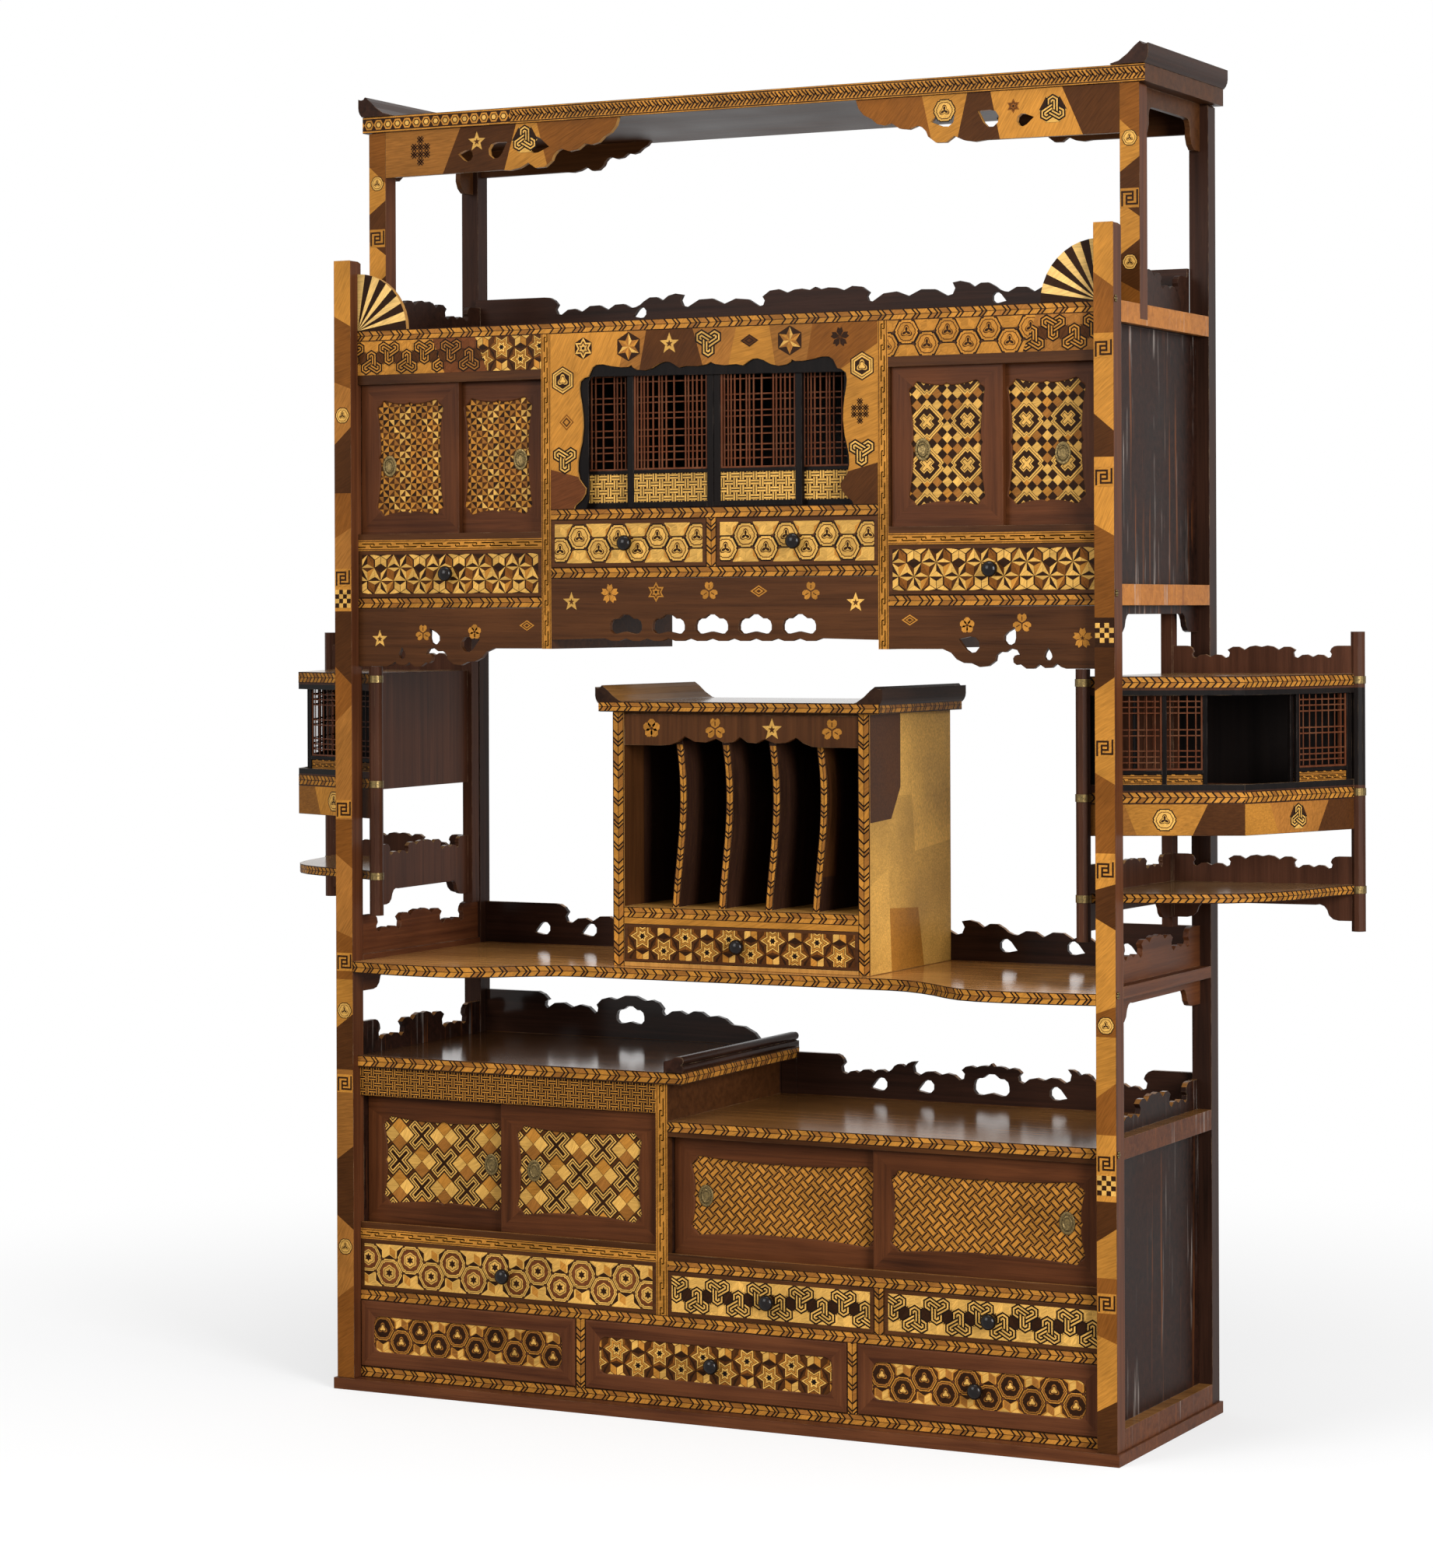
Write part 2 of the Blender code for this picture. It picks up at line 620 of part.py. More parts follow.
SIDE_APRON = ((0.0, 1.0, 0), (0.10, 1.0, 0.2), (0.16, 0.62, -0.2), (0.22, 0.45, 0), (0.78, 0.45, -0.2),
              (0.84, 0.62, 0.2), (0.90, 1.0, 0), (1.0, 1.0, 0))


def base_and_posts():
    out = HALF + BASE_OUT
    plate = blocks([(-out, out, -BASE_OUT, DEPTH + BASE_OUT, 0, BASE_T)])
    finish("base_plinth", plate, "red")
    for label, sign in (("left", -1), ("right", 1)):
        x = sign * (HALF - POST / 2)
        post("front_post_" + label, "honey", x, 0, LOW_Z, POST_TOP)
        post("rear_post_" + label, "dark", x, REAR_Y, LOW_Z, TOP_Z - GAP)
        post("upper_post_" + label, "honey", x, UPPER_POST_Y, CASE_TOP - UPPER_POST_DROP + GAP, TOP_Z - GAP)


def sides(z0, z1, rails):
    """Side panels between the posts with proud rails, as boxes."""
    boxes = []
    for sign in (-1, 1):
        near = sign * INNER
        panel = sorted((near, near + sign * PANEL_T))
        boxes.append((panel[0], panel[1], SIDE_Y0, SIDE_Y1, z0, z1))
        rail = sorted((near, near + sign * POST))
        for low, high in rails:
            boxes.append((rail[0], rail[1], SIDE_Y0, SIDE_Y1, low, high))
    return boxes


def lower_case():
    x = CASE_X
    y0 = FRONT_SET
    y1 = BACK_Y1
    lip = FRONT_SET + LIP_T
    solids = [
        (-x, x, y0, y1, LOW_Z, BOTTOM_Z),
        (-x, x, y0, y1, RAIL2_Z, HALF_Z),
        (-x, x, BACK_Y0, y1, LOW_Z, LR_TOP),
        (-x, SPLIT_X1, BACK_Y0, y1, LR_TOP, LL_ROOF_Z),
        (SPLIT_X0, SPLIT_X1, y0, y1, HALF_Z, LL_ROOF_Z),
        (-x, SPLIT_X0, y0, y1, LL_KEY_Z, LL_DOOR_Z),
        (-x, SPLIT_X0, y0, lip, LL_DOOR_Z, LL_DOOR_Z + LIP_H),
        (-x, SPLIT_X0, y0, lip, LL_FRIEZE_Z, LL_ROOF_Z),
        (SPLIT_X1, x, y0, y1, LR_RAIL_Z, LR_DOOR_Z),
        (SPLIT_X1, x, y0, lip, LR_DOOR_Z, LR_DOOR_Z + LIP_H),
        (SPLIT_X1, x, y0, lip, LR_ROOF_Z - LR_HEAD_H, LR_ROOF_Z),
        (SPLIT_X1, x, y0, y1, LR_ROOF_Z, LR_TOP),
        (LR_MID - STRIP_W / 2, LR_MID + STRIP_W / 2, y0, y1, HALF_Z, LR_RAIL_Z),
        (-THIRD_X - STRIP_W / 2, -THIRD_X + STRIP_W / 2, y0, y1, BOTTOM_Z, RAIL2_Z),
        (THIRD_X - STRIP_W / 2, THIRD_X + STRIP_W / 2, y0, y1, BOTTOM_Z, RAIL2_Z),
        (-INNER, -x, SIDE_Y0, SIDE_Y1, LOW_Z, LL_ROOF_Z),
        (x, INNER, SIDE_Y0, SIDE_Y1, LOW_Z, LR_TOP),
    ]
    left_side = sides(LOW_Z, LL_ROOF_Z, ((LOW_Z, LOW_Z + POST), (LL_ROOF_Z - POST, LL_ROOF_Z)))[:3]
    right_side = sides(LOW_Z, LR_TOP, ((LOW_Z, LOW_Z + POST), (LR_TOP - POST / 2, LR_TOP + POST / 2)))[3:]
    shell = blocks(solids + left_side + right_side)
    holes = ((0.22, 0.42, 0.3), (0.34, 0.42, 0.3), (0.5, 0.52, 0.42), (0.66, 0.42, 0.3), (0.78, 0.42, 0.3))
    outline, rings = gallery(SPLIT_X1 + LL_TOP_OUT + 2 * GAP, x, LR_TOP - PANEL_T, GALLERY_H + PANEL_T, holes)
    rear = drawn(outline, rings, BACK_Y0, y1, front)
    edge = sorted((INNER + GAP, INNER + FRET_T))
    flank = side_fret(edge, LR_TOP - PANEL_T, GALLERY_H, False)
    other = side_fret((-edge[1], -edge[0]), LL_ROOF_Z - PANEL_T, GALLERY_H + PANEL_T, False)
    finish("lower_case", joined([shell, rear, flank, other]), "dark")
    z0 = LL_ROOF_Z + GAP
    top = blocks([(-x, SPLIT_X1 + LL_TOP_OUT, y0 - LIP_T, y1, z0, LL_TOP),
                  (SPLIT_X1, SPLIT_X1 + LL_TOP_OUT, y0 - LIP_T, y1, LL_TOP - LIP_T, LL_TOP + LIP_H)])
    outline, rings = gallery(-x, SPLIT_X1, LL_TOP - PANEL_T, GALLERY_H + PANEL_T,
                             ((0.5, 0.60, 0.36),), FALLING)
    finish("lower_left_top", joined([top, drawn(outline, rings, BACK_Y0, y1, front)]), "brown")


def lower_doors_and_drawers():
    x = CASE_X
    y = FRONT_SET + GAP
    half = STRIP_W / 2
    marks = (-x, -THIRD_X - half, -THIRD_X + half, THIRD_X - half, THIRD_X + half, x)
    for i, label in enumerate(("left", "centre", "right")):
        drawer("bottom_drawer_" + label, "brown", marks[2 * i], marks[2 * i + 1], BOTTOM_Z, RAIL2_Z, y,
               DRAWER_BACK, label != "left")
    drawer("lower_left_drawer", "honey", -x, SPLIT_X0, HALF_Z, LL_KEY_Z, y, DRAWER_BACK, True)
    drawer("lower_right_drawer_a", "honey", SPLIT_X1, LR_MID - half, HALF_Z, LR_RAIL_Z, y, DRAWER_BACK, True)
    drawer("lower_right_drawer_b", "honey", LR_MID + half, x, HALF_Z, LR_RAIL_Z, y, DRAWER_BACK, True)
    door_pair("lower_left_door", -x, SPLIT_X0, LL_DOOR_Z, LL_ROOF_Z, False)
    door_pair("lower_right_door", SPLIT_X1, x, LR_DOOR_Z, LR_ROOF_Z, False)


def middle_shelf():
    """A shelf with a serpentine front: level with the posts at both ends, set back in the middle."""
    ends = CASE_X
    flat_half = MID_FLAT
    rows = 12
    edge = []
    for i in range(rows + 1):
        share = i / rows
        x = flat_half + (ends - flat_half) * share
        ease = 0.5 + 0.5 * math.cos(math.pi * min(1.0, share / 0.5))
        bulge = MID_BULGE * math.sin(math.pi * max(0.0, (share - 0.25) / 0.75))
        edge.append((x, MID_DEEP * ease - bulge))
    left = [(-x, y) for x, y in reversed(edge)]
    outline = left + edge + [(ends, BACK_Y1), (-ends, BACK_Y1)]
    plank = drawn(outline, [], MID_Z, SHELF_TOP, flat)
    outline, rings = gallery(-ends, ends, SHELF_TOP - PANEL_T, GALLERY_H + PANEL_T,
                             ((0.09, 0.45, 0.3), (0.16, 0.45, 0.3), (0.25, 0.45, 0.3), (0.75, 0.45, 0.3),
                              (0.84, 0.45, 0.3), (0.91, 0.45, 0.3)))
    fret = drawn(outline, rings, KIOSK_Y1 + GAP, KIOSK_Y1 + GAP + FRET_T, front)
    finish("middle_shelf", joined([plank, fret]), "honey")
    for label, sign in (("left", -1), ("right", 1)):
        near = sign * INNER
        rail = sorted((near, near + sign * POST))
        thin = sorted((near + sign * FRET_T / 2, near + sign * FRET_T * 1.5))
        bar = blocks([(rail[0], rail[1], SIDE_Y0, SIDE_Y1, MID_Z + MID_T / 2, SHELF_TOP + MID_T / 2)])
        above = side_fret(thin, SHELF_TOP, GALLERY_H, False)
        below = side_fret(thin, MID_Z + MID_T, MID_APRON_H, True)
        finish("middle_side_" + label, joined([bar, above, below]), "red")


def kiosk():
    half = KIOSK_HALF
    y0 = KIOSK_FRONT
    y1 = KIOSK_Y1
    inner = half - KIOSK_WALL
    roof = KIOSK_ROOF - GAP
    solids = [
        (-half, -inner, y0, y1, KIOSK_Z, roof),
        (inner, half, y0, y1, KIOSK_Z, roof),
        (-half, half, y0, y1, KIOSK_Z, KIOSK_Z + LIP_T),
        (-half, half, y0, y1, KIOSK_RAIL_Z, KIOSK_FLOOR),
        (-half, half, y1 - PANEL_T, y1, KIOSK_Z, roof),
        (-half, half, y0 + LIP_T, y1, roof - PANEL_T, roof),
    ]
    pieces = [blocks(solids)]
    rows = ((0.0, 1.0, 0), (0.17, 1.0, 0.1), (0.27, 0.70, 0.15), (0.40, 0.76, 0.2), (0.5, 0.70, 0.2),
            (0.60, 0.76, 0.15), (0.73, 0.70, 0.1), (0.83, 1.0, 0), (1.0, 1.0, 0))
    outline, rings = apron(-inner - LIP_T, inner + LIP_T, roof - LIP_T / 2, KIOSK_VALANCE_H, (), rows)
    pieces.append(drawn(outline, rings, y0 + LIP_T / 2, y0 + LIP_T / 2 + FRET_T, front))
    pitch = 2 * inner / HOLE_COUNT
    low = KIOSK_FLOOR - PANEL_T / 2
    high = roof - PANEL_T / 2
    steps = 10
    for i in range(1, HOLE_COUNT):
        x = -inner + i * pitch
        line = []
        for k in range(steps + 1):
            share = k / steps
            line.append((x + HOLE_BOW * math.sin(math.pi * share ** 1.3), low + (high - low) * share))
        outline = [(u - HOLE_WALL / 2, v) for u, v in line]
        outline += [(u + HOLE_WALL / 2, v) for u, v in reversed(line)]
        pieces.append(drawn(outline, [], y0 + HOLE_SET, y1 - PANEL_T / 2, front))
    finish("kiosk_case", joined(pieces), "honey")
    drawer("kiosk_drawer", "honey", -inner, inner, KIOSK_Z + LIP_T, KIOSK_RAIL_Z, y0 + GAP,
           KIOSK_DRAWER_BACK, True)
    out = half + KIOSK_TOP_OUT
    z1 = KIOSK_ROOF + KIOSK_TOP_T
    plate = rectangle(-out, out, KIOSK_ROOF, z1)
    pieces = [drawn(plate, [], y0 - LIP_T, y1, front)]
    for sign in (-1, 1):
        pieces.append(drawn(scroll(sign * out, z1 - LIP_T / 2, KIOSK_SCROLL_W, KIOSK_SCROLL_H, sign),
                            [], y0 - LIP_T * 1.5, y1 + LIP_T / 2, front))
    finish("kiosk_top", joined(pieces), "light")


def scroll(x, z, wide, high, sign):
    """The section of a rolled shelf end: a hollow rise to a rounded lip."""
    rows = ((-1.0, 0.0, 0), (0.0, 0.0, -0.1), (0.12, 0.45, 0.0), (0.12, 0.9, 0.25), (-0.12, 1.0, 0),
            (-0.28, 0.80, 0), (-0.5, 0.45, 0), (-0.75, 0.16, 0), (-1.0, 0.05, 0))
    points = traced(rows, x, z, sign * wide, high)
    return points


def upper_case():
    x = CASE_X
    y0 = FRONT_SET
    y1 = BACK_Y1
    lip = FRONT_SET + LIP_T
    solids = [
        (-x, x, y0, y1, ROOF_Z, CASE_TOP),
        (-x, x, BACK_Y0, y1, UPPER_Z, CASE_TOP),
        (-CENTRE_HALF, CENTRE_HALF, y0, y1, CENTRE_Z, CENTRE_TOP),
        (-CENTRE_HALF, CENTRE_HALF, y0, y1, SCREEN_RAIL_Z, SCREEN_Z),
        (-STRIP_W / 2, STRIP_W / 2, y0, y1, CENTRE_TOP, SCREEN_RAIL_Z),
    ]
    for sign in (-1, 1):
        wall = sorted((sign * CENTRE_HALF, sign * COLUMN_X))
        bay = sorted((sign * COLUMN_X, sign * x))
        solids += [
            (wall[0], wall[1], y0, y1, UPPER_Z - PENDANT, ROOF_Z),
            (bay[0], bay[1], y0, y1, UPPER_Z, RAIL_TOP),
            (bay[0], bay[1], y0, y1, KEY_Z, DOOR_Z),
            (bay[0], bay[1], y0, lip, DOOR_Z, DOOR_Z + LIP_H),
            (bay[0], bay[1], y0, lip, FRIEZE_Z, ROOF_Z),
        ]
        join = sorted((sign * x, sign * INNER))
        solids.append((join[0], join[1], SIDE_Y0, SIDE_Y1, UPPER_Z, CASE_TOP))
    solids += sides(UPPER_Z, CASE_TOP, ((UPPER_Z, UPPER_Z + POST), (CASE_TOP - POST, CASE_TOP)))
    cuts = []
    for sign in (-1, 1):
        notch = sorted((sign * (INNER - GAP), sign * HALF + sign * GAP))
        cuts.append((notch[0], notch[1], UPPER_POST_Y - GAP, UPPER_POST_Y + POST + GAP,
                     CASE_TOP - UPPER_POST_DROP, CASE_TOP + 1))
    pieces = [blocks(solids, cuts)]
    for sign in (-1, 1):
        thin = sorted((sign * (INNER + FRET_T / 2), sign * (INNER + FRET_T * 1.5)))
        pieces.append(side_fret(thin, UPPER_Z + PANEL_T, SIDE_APRON_H, True))
    finish("upper_case", joined(pieces), "dark")


def upper_fittings():
    y0 = FRONT_SET
    y1 = y0 + FRET_T
    x = CASE_X
    column = COLUMN_X + GAP
    for label, sign in (("left", -1), ("right", 1)):
        holes = ((0.24, 0.80, 0.16, 90), (0.42, 0.52, 0.24, 120), (0.60, 0.62, 0.30, 20))
        outline, rings = apron(-x, -column, UPPER_Z - GAP, APRON_H, holes, APRON)
        if sign > 0:
            outline = [(-u, v) for u, v in outline]
            rings = [[(-u, v) for u, v in ring] for ring in rings]
        board("upper_apron_" + label, "brown", outline, rings, y0, y1, front)
        steps = 10
        fan = [(-x, CASE_TOP + GAP)]
        for i in range(steps + 1):
            a = math.pi / 2 * i / steps
            fan.append((-x + FAN_R * math.cos(a), CASE_TOP + GAP + FAN_R * math.sin(a)))
        if sign > 0:
            fan = [(-u, v) for u, v in fan]
        board("fan_" + label, "light", fan, [], y0, y1, front)
    half = CENTRE_HALF - GAP
    z1 = CENTRE_Z - GAP
    z0 = z1 - CENTRE_APRON_H
    lobes = 2 * CLOUD_COUNT
    reach = CLOUD_COUNT * CLOUD_PITCH / 2
    edge = [(-half, z0)]
    for i in range(lobes):
        a = (-reach + i * CLOUD_PITCH / 2, z0 + FRET_T / 4)
        b = (-reach + (i + 1) * CLOUD_PITCH / 2, z0 + FRET_T / 4)
        edge += bowed(a, b, -0.12)
    edge += [(reach, z0 + FRET_T / 4), (half, z0), (half, z1), (-half, z1)]
    clouds = []
    for i in range(CLOUD_COUNT):
        at = (i - (CLOUD_COUNT - 1) / 2) * CLOUD_PITCH
        clouds.append(cloud(at, z0 + CLOUD_UP, CLOUD_W, CLOUD_H))
    board("upper_apron_centre", "brown", edge, clouds, y0, y1, front)
    rows = ((0.09, 0.0, 0), (0.0, 0.0, -0.12), (0.045, 0.14, 0), (0.035, 0.17, -0.10), (0.06, 0.62, -0.1),
            (0.03, 0.74, -0.2), (0.10, 0.80, 0), (0.14, 0.87, 0.15), (0.35, 0.82, 0.12), (0.5, 0.87, 0))
    rows = tuple((2 * a, b, c) for a, b, c in rows)
    window = traced(mirrored(rows), -half, SCREEN_Z + GAP, 2 * half, ROOF_Z - SCREEN_Z - 2 * GAP)
    tall = (SCREEN_Z + GAP, ROOF_Z - GAP)
    edge = RAIL_T / 3
    opening = []
    for u, v in window[1:-1]:
        opening.append((u, max(v, tall[0] + edge)))
    opening = [p for i, p in enumerate(opening) if i == 0 or p != opening[i - 1]]
    opening = [(max(-half + edge * 2, min(half - edge * 2, u)), v) for u, v in opening]
    board("window_frame", "honey", rectangle(-half, half, tall[0], tall[1]), [opening], y0, y0 + LIP_T, front)
    near = y0 + LIP_T + TRACK_GAP
    far = near + SCREEN_T + TRACK_GAP
    wide = (2 * CENTRE_HALF + 3 * SCREEN_LAP) / 4 - SLIP
    starts = (-CENTRE_HALF + SLIP, -wide - SLIP / 2, SLIP / 2, CENTRE_HALF - SLIP - wide)
    for number, start in enumerate(starts):
        y = near if number in (1, 2) else far
        bm = screen(start, start + wide, SCREEN_Z + SLIP, ROOF_Z - SLIP, y, y + SCREEN_T, 3, 4, SCREEN_FOOT)
        finish("screen_%d" % (number + 1), bm, "black")
    back = drawn(*gallery(-x, x, CASE_TOP + GAP, CREST_H, ((0.25, 0.55, 0.26), (0.75, 0.55, 0.26))),
                 SIDE_Y1 - FRET_T, SIDE_Y1, front)
    pieces = [back]
    for sign in (-1, 1):
        thin = sorted((sign * (x - FRET_T), sign * x))
        pieces.append(side_fret(thin, CASE_TOP + GAP, SIDE_CREST_H, False))
    finish("upper_crest", joined(pieces), "dark")


def upper_doors_and_drawers():
    x = CASE_X
    y = FRONT_SET + GAP
    for label, sign in (("left", -1), ("right", 1)):
        a, b = sorted((sign * COLUMN_X, sign * x))
        drawer("upper_%s_drawer" % label, "honey", a, b, RAIL_TOP, KEY_Z, y, DRAWER_BACK, True)
        door_pair("upper_%s_door" % label, a, b, DOOR_Z, ROOF_Z, True)
    half = STRIP_W / 2
    drawer("centre_drawer_left", "honey", -CENTRE_HALF, -half, CENTRE_TOP, SCREEN_RAIL_Z, y, DRAWER_BACK, True)
    drawer("centre_drawer_right", "honey", half, CENTRE_HALF, CENTRE_TOP, SCREEN_RAIL_Z, y, DRAWER_BACK, True)


def top_shelf():
    out = HALF + TOP_OUT
    y0 = UPPER_POST_Y - CHAMFER
    y1 = DEPTH + TOP_OUT
    plate = blocks([(-out, out, y0, y1, TOP_Z, TOP_TOP)])
    pieces = [plate]
    x = CASE_X
    for sign in (-1, 1):
        outline, rings = apron(-x, -x + REAR_BRACKET_L, TOP_Z + PANEL_T, REAR_BRACKET_H + PANEL_T, (), BRACKET)
        outline = [(sign * -u, v) for u, v in outline]
        pieces.append(drawn(outline, [], REAR_Y + PANEL_T, REAR_Y + PANEL_T + FRET_T, front))
        thin = sorted((sign * (INNER + FRET_T), sign * (INNER + FRET_T * 2)))
        edge = traced(SIDE_APRON, UPPER_POST_Y + POST + GAP, TOP_Z + PANEL_T,
                      SIDE_Y1 - UPPER_POST_Y - POST - GAP, -BRACKET_H - PANEL_T)
        outline = edge + [(SIDE_Y1, TOP_Z + PANEL_T), (UPPER_POST_Y + POST + GAP, TOP_Z + PANEL_T)]
        pieces.append(drawn(outline, [], thin[0], thin[1], side))
    finish("top_shelf", joined(pieces), "brown")
    for label, sign in (("left", -1), ("right", 1)):
        section = scroll(sign * out, TOP_TOP + GAP, SCROLL_W, SCROLL_H, sign)
        board("top_scroll_" + label, "black", section, [], y0 - CHAMFER, y1 + CHAMFER, front)
        holes = ((0.36, 0.62, 0.30, 170), (0.48, 0.55, 0.40, 30), (0.65, 0.48, 0.42, -10))
        outline, rings = apron(-x, -x + BRACKET_L, TOP_Z - GAP, BRACKET_H, holes, BRACKET)
        if sign > 0:
            outline = [(-u, v) for u, v in outline]
            rings = [[(-u, v) for u, v in ring] for ring in rings]
        board("top_bracket_" + label, "honey", outline, rings, UPPER_POST_Y, UPPER_POST_Y + FRET_T, front)


WING_A = (INNER - WING_A_IN, POST - WING_A_SET)
WING_M = (HALF + WING_M_OUT, WING_M_Y)
WING_B = (HALF + WING_B_OUT, DEPTH - WING_B_IN)
WING_C = (INNER - WING_C_IN, DEPTH - WING_C_BACK)


def between(p, q):
    """Length and direction from one plan point to another."""
    run = math.hypot(q[0] - p[0], q[1] - p[1])
    return run, ((q[0] - p[0]) / run, (q[1] - p[1]) / run)


def along(p, q, inward):
    """A placing rule: u from p towards q, v up, w to the left of that line, or to its right if inward is -1."""
    run, way = between(p, q)
    across = (-way[1] * inward, way[0] * inward)

    def place(u, v, w):
        return (p[0] + way[0] * u + across[0] * w, p[1] + way[1] * u + across[1] * w, v)
    return run, place


def pole(p, z0, z1, radius, steps=10):
    """A round post standing at a plan point."""
    ring = []
    for i in range(steps):
        a = 2 * math.pi * i / steps
        ring.append((p[0] + radius * math.cos(a), p[1] + radius * math.sin(a)))
    return drawn(ring, [], z0, z1, flat)


def wing_frame():
    """The right wing as one joined body: round posts, three shelves, walls, frieze and frets."""
    top = WING_TOP_Z
    case_z = top - WING_CASE_H
    low_shelf = case_z - WING_SHELF_T
    frieze_z = low_shelf - WING_FRIEZE_H
    foot_top = case_z - WING_LOW_DROP - GAP
    foot_z = foot_top - WING_LOW_T
    floor = foot_z - WING_FOOT
    pieces = [drawn([WING_A, WING_M, WING_B, WING_C], [], top, top + WING_SHELF_T, flat),
              drawn([WING_A, WING_M, WING_B, WING_C], [], low_shelf, case_z, flat)]
    run, way = between(WING_A, WING_B)
    curve = [WING_A]
    steps = 12
    for i in range(1, steps):
        share = i / steps
        swing = math.sin(math.pi * share) ** 1.5 * WING_BULGE
        curve.append((WING_A[0] + way[0] * run * share + way[1] * swing,
                      WING_A[1] + way[1] * run * share - way[0] * swing))
    pieces.append(drawn(curve + [WING_B, WING_C], [], foot_z, foot_top, flat))
    pieces.append(pole(WING_A, floor, APRON_BOTTOM - GAP * 2, WING_POST_R))
    pieces.append(pole(WING_B, floor, top + WING_SHELF_T + WING_HORN, WING_POST_R))
    corner = rectangle(WING_C[0] - WING_POST_R * 0.8, WING_C[0] + WING_POST_R * 0.8,
                       WING_C[1] - WING_POST_R, WING_C[1] + WING_POST_R)
    pieces.append(drawn(corner, [], floor, UPPER_Z - GAP, flat))
    over = LIP_T / 3
    for p, q in ((WING_A, WING_C), (WING_C, WING_B)):
        length, place = along(p, q, -1)
        wall = rectangle(0, length, low_shelf + over, top + over)
        pieces.append(drawn(wall, [], 0.0, LIP_T, place))
        outline, rings = gallery(0, length, foot_top - over, WING_GALLERY_H + over, (), SHORT_CREST)
        pieces.append(drawn(outline, rings, 0.0, LIP_T, place))
        edge = traced(SIDE_APRON, 0, foot_z + over, length, -WING_GALLERY_H)
        pieces.append(drawn(edge + [(length, foot_z + over), (0, foot_z + over)], [], 0.0, LIP_T, place))
    length, place = along(WING_C, WING_B, -1)
    outline, rings = gallery(0, length, top + WING_SHELF_T - over, WING_GALLERY_H + over, (), SHORT_CREST)
    pieces.append(drawn(outline, rings, 0.0, LIP_T, place))
    for p, q in ((WING_A, WING_M), (WING_M, WING_B)):
        length, place = along(p, q, 1)
        for z0, z1 in ((frieze_z, low_shelf + over), (case_z - over, case_z + LIP_H), (top - LIP_H, top + over)):
            pieces.append(drawn(rectangle(0, length, z0, z1), [], 0.0, WING_STRIP_T, place))
    return joined(pieces)


def wing_screens():
    """Four lattice panels for the right wing as (bmesh, label) pairs, shut."""
    low = WING_TOP_Z - WING_CASE_H + SLIP
    high = WING_TOP_Z - SLIP
    near = WING_STRIP_T + TRACK_GAP / 2
    far = near + WING_SCREEN_T + TRACK_GAP / 2
    made = []
    runs = ((WING_A, WING_M, WING_PANEL_W), (WING_M, WING_B, WING_PANEL2_W))
    for facet, (p, q, wide) in enumerate(runs):
        length, place = along(p, q, 1)
        post_clear = WING_POST_R + TRACK_GAP
        corner_clear = WING_POST_R + TRACK_GAP
        if facet == 0:
            spans = ((post_clear, near), (length - corner_clear - wide, far))
        else:
            spans = ((length - post_clear - wide, near), (corner_clear, far))
        for number, (start, w0) in enumerate(spans):
            bm = screen(start, start + wide, low, high, w0, w0 + WING_SCREEN_T, 2, 3, WING_SCREEN_FOOT)
            for v in bm.verts:
                v.co = place(v.co.x, v.co.z, v.co.y)
            made.append((bm, "panel_%d" % (facet * 2 + number + 1), way_of(p, q)))
    return made


def way_of(p, q):
    run, way = between(p, q)
    return way


def flipped(bm):
    """The mirror image of a bmesh in the cabinet's middle plane."""
    for v in bm.verts:
        v.co.x = -v.co.x
    bmesh.ops.reverse_faces(bm, faces=bm.faces)
    return bm


def wings():
    finish("wing_right", wing_frame(), "red")
    finish("wing_left", flipped(wing_frame()), "red")
    slide = {"panel_2": -WING_OPEN, "panel_4": 1.0}
    for bm, label, way in wing_screens():
        shift = slide.get(label, 0.0)
        if label == "panel_4":
            length = between(WING_M, WING_B)[0]
            shift = length - WING_POST_R - TRACK_GAP - WING_BACK_CLEAR - WING_PANEL2_W
        bmesh.ops.translate(bm, verts=bm.verts, vec=(way[0] * shift, way[1] * shift, 0))
        finish("wing_right_" + label, bm, "black")
    for bm, label, way in wing_screens():
        finish("wing_left_" + label, flipped(bm), "black")


base_and_posts()
lower_case()
lower_doors_and_drawers()
middle_shelf()
kiosk()
upper_case()
upper_fittings()
upper_doors_and_drawers()
top_shelf()
wings()
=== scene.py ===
# %% [markdown]
# # A shelf cabinet covered with wood marquetry
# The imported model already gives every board, drawer and door its true place and size. This lesson dresses
# it: camera and light first, then the woods, then the thin veneers that cover the fronts, and last the small
# fittings of brass and black wood. Each piece is written in metres, in the same frame as the model.

# %% Load the frame
import json
import math
import random

import bmesh
import bpy
from mathutils import Matrix, Vector

